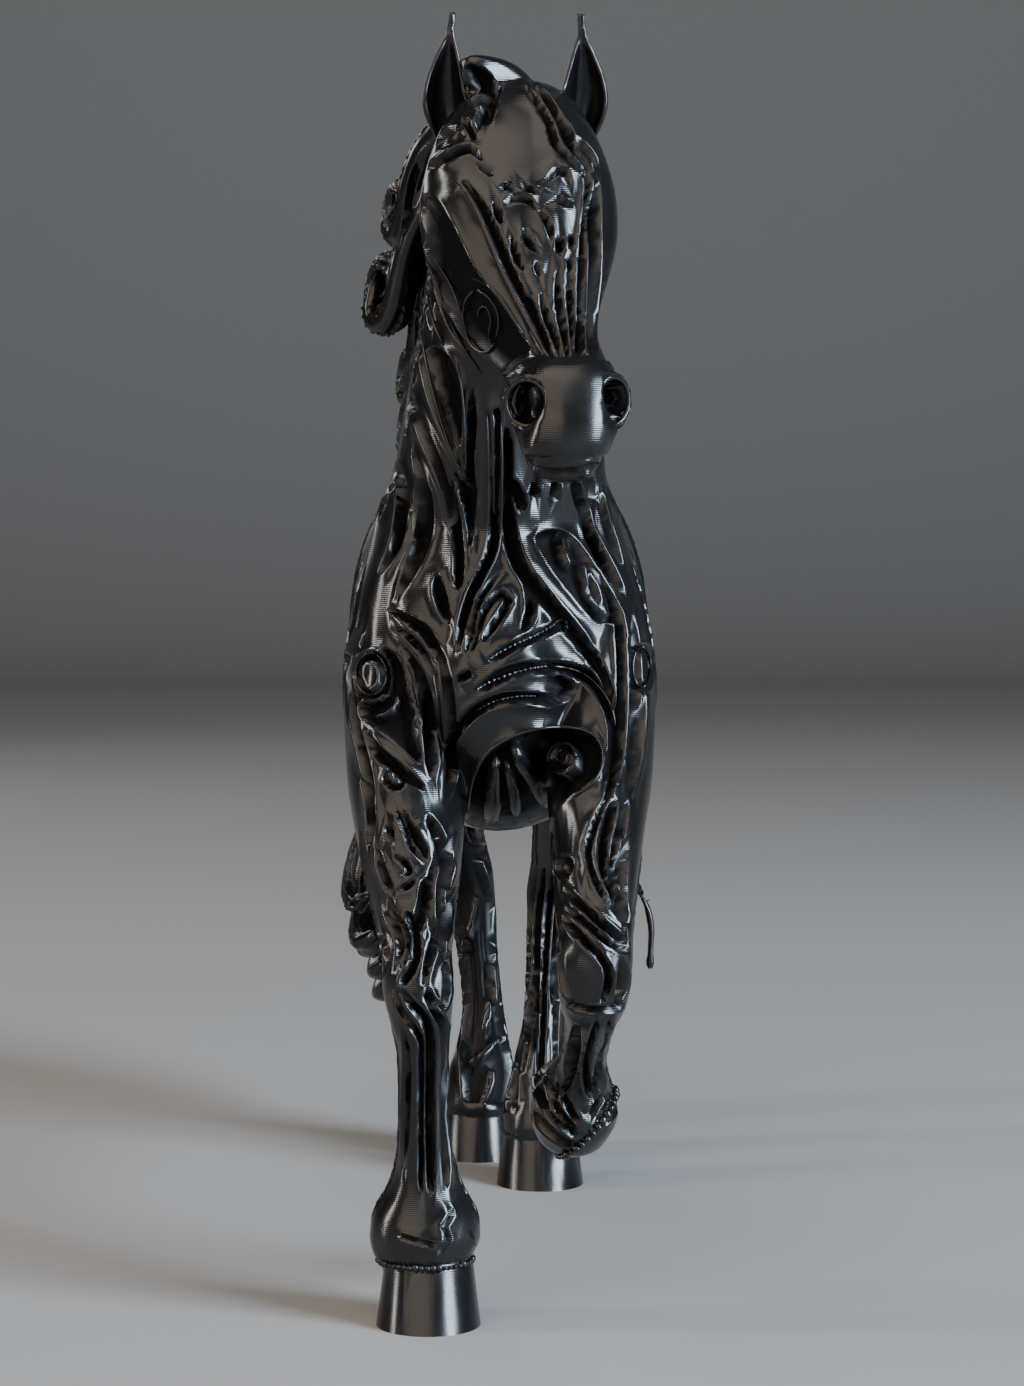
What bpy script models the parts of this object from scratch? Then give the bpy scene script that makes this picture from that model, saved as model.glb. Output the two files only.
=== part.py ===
"""Horse sculpture: one printed piece, stepping forward, carved with flowing bands.

Frame: the horse looks along -Y, its left side is +X, up is +Z. The origin is on the floor, under the middle of
the figure's box.
Pose, proportions and carving are given as shares of the horse's own height.
"""

import math

import bmesh
import bpy
import numpy as np
from mathutils import Matrix

HEIGHT = 0.130
VOXEL = 0.00050
TRIANGLES = 9800
SINK = 0.03
ORIGIN = (-0.0167, 0.0363)
GROOVE_DEPTH = 0.0085
GROOVE_WIDTH = 0.0044
GROOVE_WALL = 0.0032
EAR_WALL = 0.0062

VIEW = (0.011, -2.98, 0.63)
VIEW_TILT = math.radians(3.115)
VIEW_FOCAL = 3435.0
VIEW_CENTRE = (512.0, 693.0)
MARK = 1.0 / 1318.0

FILAMENT = {"name": "black_filament", "colour": (0.012, 0.012, 0.013, 1.0), "roughness": 0.24, "metallic": 0.0}

# Rows: x, y, z of the centre, half size to each side, half size to the fore side, half size to the aft side.
TRUNK = (
    (0.0, 0.408, 0.585, 0.030, 0.030, 0.045),
    (0.0, 0.390, 0.580, 0.058, 0.062, 0.085),
    (0.0, 0.345, 0.572, 0.088, 0.096, 0.105),
    (0.0, 0.285, 0.565, 0.106, 0.118, 0.118),
    (0.0, 0.220, 0.555, 0.114, 0.129, 0.128),
    (0.0, 0.140, 0.540, 0.114, 0.130, 0.142),
    (0.0, 0.050, 0.530, 0.121, 0.135, 0.158),
    (0.0, -0.040, 0.530, 0.124, 0.145, 0.168),
    (0.0, -0.120, 0.530, 0.123, 0.166, 0.168),
    (0.0, -0.200, 0.520, 0.119, 0.160, 0.152),
    (0.0, -0.265, 0.505, 0.108, 0.135, 0.140),
    (0.0, -0.310, 0.493, 0.088, 0.105, 0.115),
    (0.0, -0.338, 0.487, 0.050, 0.065, 0.075),
)
NECK = (
    (0.014, -0.348, 0.925, 0.044, 0.040, 0.035),
    (0.012, -0.340, 0.885, 0.052, 0.056, 0.062),
    (0.009, -0.318, 0.825, 0.060, 0.070, 0.082),
    (0.006, -0.286, 0.755, 0.069, 0.086, 0.095),
    (0.003, -0.244, 0.680, 0.081, 0.106, 0.108),
    (0.0, -0.195, 0.610, 0.091, 0.128, 0.118),
    (0.0, -0.140, 0.555, 0.104, 0.135, 0.125),
)
HEAD = (
    (0.010, -0.346, 0.956, 0.018, 0.018, 0.022),
    (0.011, -0.354, 0.938, 0.032, 0.032, 0.036),
    (0.0125, -0.366, 0.916, 0.050, 0.044, 0.050),
    (0.014, -0.384, 0.888, 0.065, 0.051, 0.066),
    (0.0155, -0.402, 0.858, 0.0720, 0.052, 0.078),
    (0.021, -0.421, 0.824, 0.0690, 0.049, 0.086),
    (0.027, -0.439, 0.791, 0.0565, 0.045, 0.080),
    (0.034, -0.454, 0.764, 0.0420, 0.040, 0.062),
    (0.042, -0.469, 0.739, 0.0320, 0.034, 0.046),
    (0.048, -0.482, 0.720, 0.0330, 0.034, 0.040),
    (0.051, -0.493, 0.702, 0.0395, 0.037, 0.040),
    (0.050, -0.503, 0.684, 0.0335, 0.034, 0.038),
    (0.0485, -0.510, 0.670, 0.0280, 0.028, 0.032),
    (0.0480, -0.513, 0.664, 0.0265, 0.023, 0.028),
)
FORELOCK = (
    (0.0250, -0.358, 0.9380, 0.016, 0.0070, 0.0090),
    (0.0145, -0.366, 0.9500, 0.015, 0.0075, 0.0095),
    (0.0040, -0.376, 0.9565, 0.013, 0.0068, 0.0085),
    (-0.0080, -0.385, 0.9605, 0.010, 0.0050, 0.0064),
    (-0.0180, -0.391, 0.9632, 0.006, 0.0030, 0.0038),
    (-0.0230, -0.394, 0.9640, 0.003, 0.0018, 0.0020),
)
FORE_STANDING = (
    (-0.060, -0.170, 0.640, 0.028, 0.075, 0.060),
    (-0.069, -0.205, 0.580, 0.038, 0.090, 0.080),
    (-0.077, -0.240, 0.510, 0.045, 0.082, 0.090),
    (-0.073, -0.288, 0.425, 0.046, 0.062, 0.068),
    (-0.068, -0.318, 0.375, 0.042, 0.050, 0.052),
    (-0.065, -0.340, 0.325, 0.0330, 0.040, 0.040),
    (-0.062, -0.354, 0.288, 0.0270, 0.033, 0.033),
    (-0.061, -0.361, 0.262, 0.0275, 0.034, 0.033),
    (-0.059, -0.362, 0.238, 0.0240, 0.030, 0.032),
    (-0.0575, -0.361, 0.212, 0.0195, 0.024, 0.027),
    (-0.0570, -0.358, 0.165, 0.0190, 0.023, 0.026),
    (-0.0565, -0.354, 0.130, 0.0215, 0.025, 0.028),
    (-0.0560, -0.350, 0.105, 0.0290, 0.029, 0.034),
    (-0.0555, -0.346, 0.086, 0.0375, 0.034, 0.040),
    (-0.0550, -0.344, 0.068, 0.0415, 0.037, 0.041),
    (-0.0545, -0.345, 0.052, 0.0380, 0.036, 0.038),
    (-0.0540, -0.347, 0.040, 0.0330, 0.034, 0.034),
)
FORE_LIFTED = (
    (0.060, -0.170, 0.640, 0.028, 0.075, 0.060),
    (0.069, -0.205, 0.580, 0.038, 0.090, 0.080),
    (0.079, -0.243, 0.510, 0.045, 0.082, 0.090),
    (0.079, -0.300, 0.430, 0.0425, 0.060, 0.064),
    (0.0765, -0.345, 0.385, 0.0370, 0.048, 0.048),
    (0.0745, -0.385, 0.343, 0.0315, 0.038, 0.038),
    (0.0735, -0.410, 0.312, 0.0290, 0.034, 0.032),
    (0.0730, -0.418, 0.287, 0.0285, 0.031, 0.028),
    (0.0725, -0.410, 0.263, 0.0265, 0.028, 0.023),
    (0.0710, -0.388, 0.244, 0.0200, 0.023, 0.020),
    (0.0690, -0.352, 0.221, 0.0168, 0.020, 0.019),
    (0.0665, -0.318, 0.198, 0.0175, 0.021, 0.021),
    (0.0635, -0.296, 0.180, 0.0240, 0.026, 0.027),
    (0.0610, -0.284, 0.164, 0.0320, 0.033, 0.034),
    (0.0595, -0.278, 0.150, 0.0345, 0.036, 0.036),
)
HIND_NEAR = (
    (0.062, 0.270, 0.610, 0.042, 0.085, 0.080),
    (0.072, 0.255, 0.540, 0.052, 0.105, 0.105),
    (0.076, 0.232, 0.470, 0.050, 0.085, 0.098),
    (0.072, 0.220, 0.410, 0.043, 0.062, 0.072),
    (0.065, 0.236, 0.350, 0.034, 0.045, 0.050),
    (0.057, 0.262, 0.300, 0.027, 0.034, 0.036),
    (0.052, 0.276, 0.266, 0.0265, 0.034, 0.040),
    (0.048, 0.270, 0.235, 0.0230, 0.028, 0.032),
    (0.044, 0.256, 0.195, 0.0190, 0.024, 0.025),
    (0.041, 0.238, 0.145, 0.0190, 0.024, 0.025),
    (0.039, 0.226, 0.110, 0.0250, 0.028, 0.030),
    (0.038, 0.216, 0.080, 0.0330, 0.034, 0.036),
    (0.037, 0.206, 0.056, 0.0350, 0.038, 0.038),
    (0.037, 0.202, 0.042, 0.0330, 0.036, 0.036),
)
HIND_FAR = (
    (-0.062, 0.285, 0.610, 0.042, 0.085, 0.080),
    (-0.072, 0.290, 0.540, 0.052, 0.105, 0.105),
    (-0.074, 0.292, 0.470, 0.050, 0.085, 0.094),
    (-0.066, 0.310, 0.405, 0.042, 0.060, 0.066),
    (-0.054, 0.340, 0.348, 0.033, 0.044, 0.046),
    (-0.042, 0.370, 0.302, 0.026, 0.034, 0.036),
    (-0.034, 0.385, 0.268, 0.0265, 0.034, 0.040),
    (-0.028, 0.382, 0.236, 0.0230, 0.028, 0.032),
    (-0.023, 0.372, 0.195, 0.0190, 0.024, 0.025),
    (-0.018, 0.360, 0.145, 0.0190, 0.024, 0.025),
    (-0.017, 0.353, 0.110, 0.0240, 0.028, 0.030),
    (-0.018, 0.347, 0.082, 0.0320, 0.034, 0.036),
    (-0.021, 0.343, 0.056, 0.0345, 0.038, 0.038),
    (-0.022, 0.341, 0.042, 0.0330, 0.036, 0.036),
)

HOOF_TOP = 0.046
HOOF_LEAN = 0.014
HOOF_HALF_TOP = (0.0345, 0.036, 0.036)
HOOF_HALF_SOLE = (0.0405, 0.044, 0.040)
HOOVES = {
    "hoof_fore": (-0.0535, -0.353, 0.0),
    "hoof_near": (0.037, 0.200, 0.0),
    "hoof_far": (-0.022, 0.340, 0.0),
}
LIFTED_HOOF = ((0.0590, -0.276, 0.150), (0.0587, -0.231, 0.141))

EARS = {
    "ear_right": ((-0.030, -0.366, 0.896), (-0.0395, -0.376, 0.940), (-0.0335, -0.382, 1.002), 0.0178),
    "ear_left": ((0.056, -0.352, 0.896), (0.0655, -0.364, 0.940), (0.0626, -0.374, 1.002), 0.0190),
}
# Each nostril: centre, the way it faces as a turn from straight ahead, radius of the rim.
NOSTRILS = (((0.0215, -0.5205, 0.7035), -20.0, 0.0174), ((0.0830, -0.5085, 0.7050), 44.0, 0.0182))
NOSTRIL_RIM = 0.0034
NOSTRIL_DISH = 0.018

# Each mane lock: how far down the crest it roots, where it ends, radius of its scroll, half width.
MANE = (
    (0.00, (-0.070, -0.240, 0.860), 0.021, 0.024),
    (0.17, (-0.078, -0.205, 0.797), 0.030, 0.030),
    (0.34, (-0.064, -0.165, 0.735), 0.022, 0.026),
    (0.52, (-0.066, -0.115, 0.695), 0.023, 0.027),
    (0.70, (-0.060, -0.060, 0.668), 0.020, 0.024),
    (0.88, (-0.050, -0.010, 0.668), 0.017, 0.020),
)
MANE_THICK = 0.0125
TAIL_LOCKS = 6


def through(rows, per):
    """Rows along a smooth curve through the given rows."""
    rows = np.array(rows, dtype=float)
    wide = np.vstack([2.0 * rows[0] - rows[1], rows, 2.0 * rows[-1] - rows[-2]])
    out = []
    for i in range(len(rows) - 1):
        a, b, c, d = wide[i], wide[i + 1], wide[i + 2], wide[i + 3]
        for k in range(per):
            t = k / per
            out.append(0.5 * (2.0 * b + (c - a) * t + (2.0 * a - 5.0 * b + 4.0 * c - d) * t * t
                              + (3.0 * b - a - 3.0 * c + d) * t ** 3))
    out.append(rows[-1])
    return np.array(out)


def unit(v):
    """Vectors made one long."""
    return v / np.maximum(np.linalg.norm(v, axis=-1, keepdims=True), 1e-12)


class Loft:
    """A closed limb: rings of two half-ellipses strung along a curve."""

    def __init__(self, name, rows, side=(1.0, 0.0, 0.0), per=5, cap=0.5, square=2.0, group=None):
        rows = through(rows, per)
        self.name = name
        self.group = group or name
        self.centre = rows[:, :3]
        self.half = rows[:, 3:6]
        self.square = square
        self.cap = cap
        self.tangent = unit(np.gradient(self.centre, axis=0))
        hint = np.broadcast_to(np.array(side, dtype=float), self.centre.shape)
        lean = np.sum(hint * self.tangent, axis=1, keepdims=True)
        self.side = unit(hint - lean * self.tangent)
        self.fore = np.cross(self.tangent, self.side)
        step = np.linalg.norm(np.diff(self.centre, axis=0), axis=1)
        self.along = np.concatenate([[0.0], np.cumsum(step)])

    def ring(self, index, shrink, shift, count):
        """One ring of points, shrunk and pushed along the curve."""
        turn = np.arange(count) * 2.0 * math.pi / count
        power = 2.0 / self.square
        across = np.sign(np.cos(turn)) * np.abs(np.cos(turn)) ** power
        ahead = np.sign(np.sin(turn)) * np.abs(np.sin(turn)) ** power
        side, fore, aft = self.half[index] * shrink
        deep = np.where(ahead > 0.0, fore, aft)
        base = self.centre[index] + self.tangent[index] * shift
        return base + np.outer(across * side, self.side[index]) + np.outer(ahead * deep, self.fore[index])

    def rings(self, count=28):
        """All rings with rounded ends."""
        out = []
        reach_0 = self.cap * float(np.mean(self.half[0]))
        reach_1 = self.cap * float(np.mean(self.half[-1]))
        for part in (0.12, 0.45, 0.75):
            bend = math.acos(part)
            out.append(self.ring(0, part, -reach_0 * math.sin(bend), count))
        for i in range(len(self.centre)):
            out.append(self.ring(i, 1.0, 0.0, count))
        for part in (0.75, 0.45, 0.12):
            bend = math.acos(part)
            out.append(self.ring(-1, part, reach_1 * math.sin(bend), count))
        return out


def add_rings(shell, rings, closed=False):
    """Skin a list of rings into the bmesh, with a face over each end or joined round."""
    grid = []
    for ring in rings:
        grid.append([shell.verts.new(p * HEIGHT) for p in ring])
    count = len(grid[0])
    for a, b in zip(grid, grid[1:]):
        for k in range(count):
            n = (k + 1) % count
            shell.faces.new((a[k], a[n], b[n], b[k]))
    if closed:
        for k in range(count):
            n = (k + 1) % count
            shell.faces.new((grid[-1][k], grid[-1][n], grid[0][n], grid[0][k]))
        return
    shell.faces.new(list(reversed(grid[0])))
    shell.faces.new(grid[-1])


def hoof_rings(foot):
    """A flared hoof that reaches below the floor, cut flat later."""
    rings = []
    count = 32
    turn = np.arange(count) * 2.0 * math.pi / count
    for t in (-0.25, 0.0, 0.12, 0.3, 0.6, 1.0, 1.0 + SINK / HOOF_TOP):
        grow = max(t, 0.0)
        side = HOOF_HALF_TOP[0] + (HOOF_HALF_SOLE[0] - HOOF_HALF_TOP[0]) * grow
        fore = HOOF_HALF_TOP[1] + (HOOF_HALF_SOLE[1] - HOOF_HALF_TOP[1]) * grow
        aft = HOOF_HALF_TOP[2] + (HOOF_HALF_SOLE[2] - HOOF_HALF_TOP[2]) * grow
        if t < 0.0:
            side, fore, aft = side * 0.86, fore * 0.86, aft * 0.86
        deep = np.where(np.sin(turn) > 0.0, fore, aft)
        x = foot[0] + side * np.cos(turn)
        y = foot[1] + HOOF_LEAN * (0.6 - t) - deep * np.sin(turn)
        z = np.full(count, HOOF_TOP * (1.0 - t))
        rings.append(np.stack([x, y, z], axis=1))
    return rings


def lifted_hoof_rings():
    """The hoof of the folded leg: a flared cup along its own axis."""
    top, sole = np.array(LIFTED_HOOF[0]), np.array(LIFTED_HOOF[1])
    axis = unit(sole - top)
    side = np.array((1.0, 0.0, 0.0))
    fore = np.cross(axis, side)
    count = 32
    turn = np.arange(count) * 2.0 * math.pi / count
    rings = []
    for t, grow in ((-0.2, 0.86), (0.0, 1.0), (0.5, 1.06), (1.0, 1.14)):
        base = top + (sole - top) * t
        across = HOOF_HALF_TOP[0] * grow * np.cos(turn)
        deep = HOOF_HALF_TOP[1] * grow * np.sin(turn)
        rings.append(base + np.outer(across, side) + np.outer(deep, fore))
    return rings


def ear_rings(base, middle, tip, wide):
    """A pointed cup open to the front: each ring is a crescent."""
    spine = through((base, middle, tip), 9)
    last = len(spine) - 1
    rings = []
    half = 11
    for i, centre in enumerate(spine):
        t = i / last
        leaf = wide * (0.60 + 0.40 * math.sin(0.5 * math.pi * min(1.0, t / 0.42)))
        if t > 0.42:
            leaf = wide * max(0.28, 1.0 - ((t - 0.42) / 0.50) ** 1.7)
        hollow = min(1.0, max(0.0, (0.86 - t) / 0.16))
        deep = leaf * (1.5 - 0.65 * hollow)
        wall = min(EAR_WALL, leaf * 0.55)
        dish = min(1.0, max(0.0, (t - 0.06) / 0.14)) * hollow
        inner_side = (leaf - wall) * dish + leaf * 0.95 * (1.0 - dish)
        inner_deep = (deep - wall) * dish
        ring = []
        wrap = 0.30
        for k in range(half):
            a = -wrap + (math.pi + 2.0 * wrap) * k / (half - 1)
            ring.append((leaf * math.cos(a), deep * math.sin(a)))
        for k in range(half):
            a = math.pi + wrap - (math.pi + 2.0 * wrap) * k / (half - 1)
            ring.append((inner_side * math.cos(a), inner_deep * math.sin(a) - 0.0006))
        rings.append(np.array([centre + np.array((x, y, 0.0)) for x, y in ring]))
    return rings


def nostril_frame(turn):
    """The way a nostril faces, with its own level and upright directions."""
    a = math.radians(turn)
    out = unit(np.array((math.sin(a), -math.cos(a), -0.08)))
    level = unit(np.cross(out, np.array((0.0, 0.0, 1.0))))
    return out, level, np.cross(level, out)


def nostril_rings(centre, turn, radius):
    """A short thick-walled collar that stands off the muzzle."""
    out, level, up = nostril_frame(turn)
    count = 36
    rings = []
    for a in np.arange(16) * 2.0 * math.pi / 16:
        wide = radius - NOSTRIL_RIM + NOSTRIL_RIM * math.cos(a)
        push = NOSTRIL_RIM * math.sin(a) * (1.0 if math.sin(a) > 0.0 else 3.2)
        turns = np.arange(count) * 2.0 * math.pi / count
        base = np.array(centre) + out * push
        rings.append(base + np.outer(wide * np.cos(turns), level) + np.outer(wide * 1.06 * np.sin(turns), up))
    return rings


def lock_rows(root, bend, end, curl, turns, width, thick):
    """A hair lock: a bent path that ends in a scroll of shrinking radius."""
    root, bend, end = np.array(root), np.array(bend), np.array(end)
    rows = []
    for k in range(7):
        t = k / 6.0
        p = root * (1 - t) ** 2 + bend * 2 * t * (1 - t) + end * t * t
        swell = 0.75 + 0.35 * math.sin(math.pi * min(1.0, 0.25 + t * 0.75))
        rows.append((*p, width * swell, thick, thick))
    run = unit(end - bend)
    up = np.array((0.0, 0.0, 1.0))
    across = unit(up - run * np.dot(up, run))
    steps = int(10 * turns)
    for k in range(1, steps + 1):
        a = 2.0 * math.pi * turns * k / steps
        r = curl * (1.0 - 0.55 * k / steps)
        centre = end + across * curl
        p = centre + r * (run * math.sin(a) - across * math.cos(a))
        fade = 1.0 - 0.55 * k / steps
        rows.append((*p, width * 0.8 * fade, thick * fade, thick * fade))
    return rows


def mane_lofts():
    """Locks along the crest, swept back and to the horse's right, each ending in a scroll."""
    out = []
    crest = through(((0.008, -0.330, 0.925), (0.004, -0.262, 0.868), (0.0, -0.190, 0.782),
                     (0.0, -0.130, 0.700)), 8)
    for i, (start, end, curl, width) in enumerate(MANE):
        root = crest[int(round(start * (len(crest) - 1)))]
        end = np.array(end)
        bend = 0.45 * root + 0.55 * end + np.array((-0.020, 0.0, 0.060))
        rows = lock_rows(root, bend, end, curl, 0.95, width, MANE_THICK)
        out.append(Loft("mane_%d" % i, rows, side=(0.25, 1.0, 0.35), per=3, group="mane"))
    return out


def tail_lofts():
    """Locks that leave the dock together and sweep down to the horse's right, fanned out at the end."""
    out = []
    for i in range(TAIL_LOCKS):
        t = i / (TAIL_LOCKS - 1) - 0.5
        fan = 0.070 * t
        wave = 0.010 * math.sin(2.4 * i)
        cut = 0.016 * math.cos(1.9 * i + 0.5)
        rows = (
            (0.0, 0.372, 0.622 + 0.018 * t, 0.022, 0.020, 0.020),
            (-0.004 + 0.2 * fan, 0.440, 0.640 + 0.020 * t, 0.023, 0.018, 0.018),
            (-0.016 + 0.5 * fan, 0.505 + 0.30 * fan + wave, 0.590 + 0.5 * fan, 0.024, 0.018, 0.018),
            (-0.036 + 0.8 * fan, 0.548 + 0.55 * fan - wave, 0.500 + 0.6 * fan, 0.026, 0.018, 0.018),
            (-0.060 + 0.9 * fan, 0.560 + 0.85 * fan + wave, 0.405 + 0.3 * fan, 0.025, 0.018, 0.018),
            (-0.086 + 0.8 * fan, 0.550 + 1.0 * fan, 0.322 - 0.2 * fan, 0.024, 0.018, 0.018),
            (-0.110 + 0.7 * fan, 0.530 + 1.1 * fan, 0.250 - 0.6 * fan + cut, 0.022, 0.016, 0.016),
            (-0.127 + 0.5 * fan, 0.500 + 1.0 * fan, 0.202 - 0.9 * fan + cut, 0.018, 0.013, 0.013),
            (-0.131 + 0.3 * fan, 0.465 + 0.8 * fan, 0.184 - 1.0 * fan + cut, 0.012, 0.009, 0.009),
            (-0.121 + 0.2 * fan, 0.442 + 0.7 * fan, 0.194 - 1.0 * fan + cut, 0.007, 0.006, 0.006),
        )
        out.append(Loft("tail_%d" % i, rows, side=(0.6, -0.8, 0.0), per=4, group="tail"))
    return out


def all_lofts():
    """Every limb of the figure."""
    head_turn = math.radians(13.0)
    lofts = [
        Loft("trunk", TRUNK, cap=0.4),
        Loft("neck", NECK, cap=0.4),
        Loft("head", HEAD, side=(math.cos(head_turn), math.sin(head_turn), 0.0), cap=0.5, square=2.6),
        Loft("fore_standing", FORE_STANDING, cap=0.4),
        Loft("fore_lifted", FORE_LIFTED, cap=0.4),
        Loft("hind_near", HIND_NEAR, cap=0.4),
        Loft("hind_far", HIND_FAR, cap=0.4),
    ]
    lofts.append(Loft("forelock", FORELOCK, side=(0.0, 1.0, 0.0), per=4, group="head"))
    lofts.extend(mane_lofts())
    lofts.extend(tail_lofts())
    return lofts


def markers():
    """Stand-ins that only tell which points are ear or hoof."""
    out = []
    for name, (base, middle, tip, wide) in EARS.items():
        rows = [(*base, wide, wide, wide), (*middle, wide, wide, wide), (*tip, wide, wide, wide)]
        out.append(Loft(name, rows, group="ear"))
    for name, (x, y, z) in HOOVES.items():
        rows = [(x, y, HOOF_TOP - 0.012, 0.04, 0.04, 0.04), (x, y, 0.0, 0.04, 0.04, 0.04)]
        out.append(Loft(name, rows, group="hoof"))
    rows = [(*LIFTED_HOOF[0], 0.036, 0.036, 0.036), (*LIFTED_HOOF[1], 0.036, 0.036, 0.036)]
    out.append(Loft("hoof_lifted", rows, group="hoof"))
    return out


def union_mesh(lofts, voxel):
    """Everything joined into one closed skin."""
    shell = bmesh.new()
    for loft in lofts:
        add_rings(shell, loft.rings())
    for foot in HOOVES.values():
        add_rings(shell, hoof_rings(foot))
    add_rings(shell, lifted_hoof_rings())
    for base, middle, tip, wide in EARS.values():
        add_rings(shell, ear_rings(base, middle, tip, wide))
    for centre, turn, radius in NOSTRILS:
        add_rings(shell, nostril_rings(centre, turn, radius), closed=True)
    bmesh.ops.triangulate(shell, faces=[f for f in shell.faces if len(f.verts) > 4])
    bmesh.ops.recalc_face_normals(shell, faces=shell.faces[:])
    mesh = bpy.data.meshes.new("limbs")
    shell.to_mesh(mesh)
    shell.free()
    return modified(mesh, "REMESH", mode="VOXEL", voxel_size=voxel, use_smooth_shade=False)


def modified(mesh, kind, **settings):
    """The mesh after one modifier."""
    holder = bpy.data.objects.new("holder", mesh)
    bpy.context.scene.collection.objects.link(holder)
    change = holder.modifiers.new("change", kind)
    for key, value in settings.items():
        setattr(change, key, value)
    bpy.context.view_layer.update()
    graph = bpy.context.evaluated_depsgraph_get()
    result = bpy.data.meshes.new_from_object(holder.evaluated_get(graph))
    bpy.data.objects.remove(holder)
    bpy.data.meshes.remove(mesh)
    return result


def points_of(mesh):
    """Vertex positions as shares of the height."""
    flat = np.empty(len(mesh.vertices) * 3)
    mesh.vertices.foreach_get("co", flat)
    return flat.reshape(-1, 3) / HEIGHT


def normals_of(mesh):
    """Vertex normals."""
    flat = np.empty(len(mesh.vertices) * 3)
    mesh.vertex_normals.foreach_get("vector", flat)
    return flat.reshape(-1, 3)


def edges_of(mesh):
    """Vertex pairs."""
    flat = np.empty(len(mesh.edges) * 2, dtype=np.int64)
    mesh.edges.foreach_get("vertices", flat)
    return flat.reshape(-1, 2)


def put_points(mesh, points):
    """Write the positions back."""
    mesh.vertices.foreach_set("co", (points * HEIGHT).ravel())
    mesh.update()


def relax(points, edges, weight, rounds):
    """Move each point toward the mean of its neighbours."""
    count = len(points)
    near = np.bincount(edges[:, 0], minlength=count) + np.bincount(edges[:, 1], minlength=count)
    near = np.maximum(near, 1)
    for _ in range(rounds):
        moved = np.empty_like(points)
        for axis in range(3):
            column = points[:, axis]
            total = np.bincount(edges[:, 0], weights=column[edges[:, 1]], minlength=count)
            total += np.bincount(edges[:, 1], weights=column[edges[:, 0]], minlength=count)
            moved[:, axis] = total / near
        points = points + (moved - points) * weight[:, None]
    return points


class Skin:
    """Where each point lies on the figure: its limb, how far along it, and the turn around it."""

    def __init__(self, points, normals, lofts):
        self.points = points
        self.normals = normals
        groups = []
        for loft in lofts:
            if loft.group not in groups:
                groups.append(loft.group)
        self.groups = groups
        centre = np.vstack([loft.centre for loft in lofts])
        size = np.concatenate([np.mean(loft.half, axis=1) for loft in lofts])
        group = np.concatenate([np.full(len(loft.centre), groups.index(loft.group)) for loft in lofts])
        side = np.vstack([loft.side for loft in lofts])
        fore = np.vstack([loft.fore for loft in lofts])
        tangent = np.vstack([loft.tangent for loft in lofts])
        along = np.concatenate([loft.along for loft in lofts])
        count = len(points)
        best = np.zeros(count, dtype=np.int64)
        gap = np.zeros(count)
        for start in range(0, count, 20000):
            stop = min(count, start + 20000)
            block = points[start:stop]
            apart = np.linalg.norm(block[:, None, :] - centre[None, :, :], axis=2) / size[None, :]
            pick = np.argmin(apart, axis=1)
            best[start:stop] = pick
            own = apart[np.arange(stop - start), pick]
            other = np.where(group[None, :] == group[pick][:, None], 99.0, apart).min(axis=1)
            gap[start:stop] = other - own
        self.group = group[best]
        self.seam = np.exp(-(gap / 0.22) ** 2)
        arm = points - centre[best]
        self.along = along[best] + np.sum(arm * tangent[best], axis=1)
        across = np.sum(arm * side[best], axis=1)
        ahead = np.sum(arm * fore[best], axis=1)
        self.turn = np.arctan2(ahead, across)
        self.radius = np.maximum(np.hypot(across, ahead), 1e-4)

    def among(self, *names):
        """Which points belong to the named limbs."""
        keep = [self.groups.index(n) for n in names if n in self.groups]
        return np.isin(self.group, keep)

    def front_chart(self):
        """Where each point is seen from in front, and how squarely."""
        deep = self.points[:, 1] - VIEW[1]
        down = VIEW[2] - self.points[:, 2]
        far = deep * math.cos(VIEW_TILT) + down * math.sin(VIEW_TILT)
        low = down * math.cos(VIEW_TILT) - deep * math.sin(VIEW_TILT)
        x = VIEW_CENTRE[0] + VIEW_FOCAL * (self.points[:, 0] - VIEW[0]) / far
        y = VIEW_CENTRE[1] + VIEW_FOCAL * low / far
        ray = unit(np.array(VIEW) - self.points)
        facing = np.sum(ray * self.normals, axis=1)
        return x, y, facing


def ramp(value, low, high):
    """0 below low, 1 above high, smooth between."""
    t = np.clip((value - low) / (high - low), 0.0, 1.0)
    return t * t * (3.0 - 2.0 * t)


def path(points, steps=10):
    """A smooth line through a few points."""
    return through(points, max(2, steps // max(1, len(points) - 1)))


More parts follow.
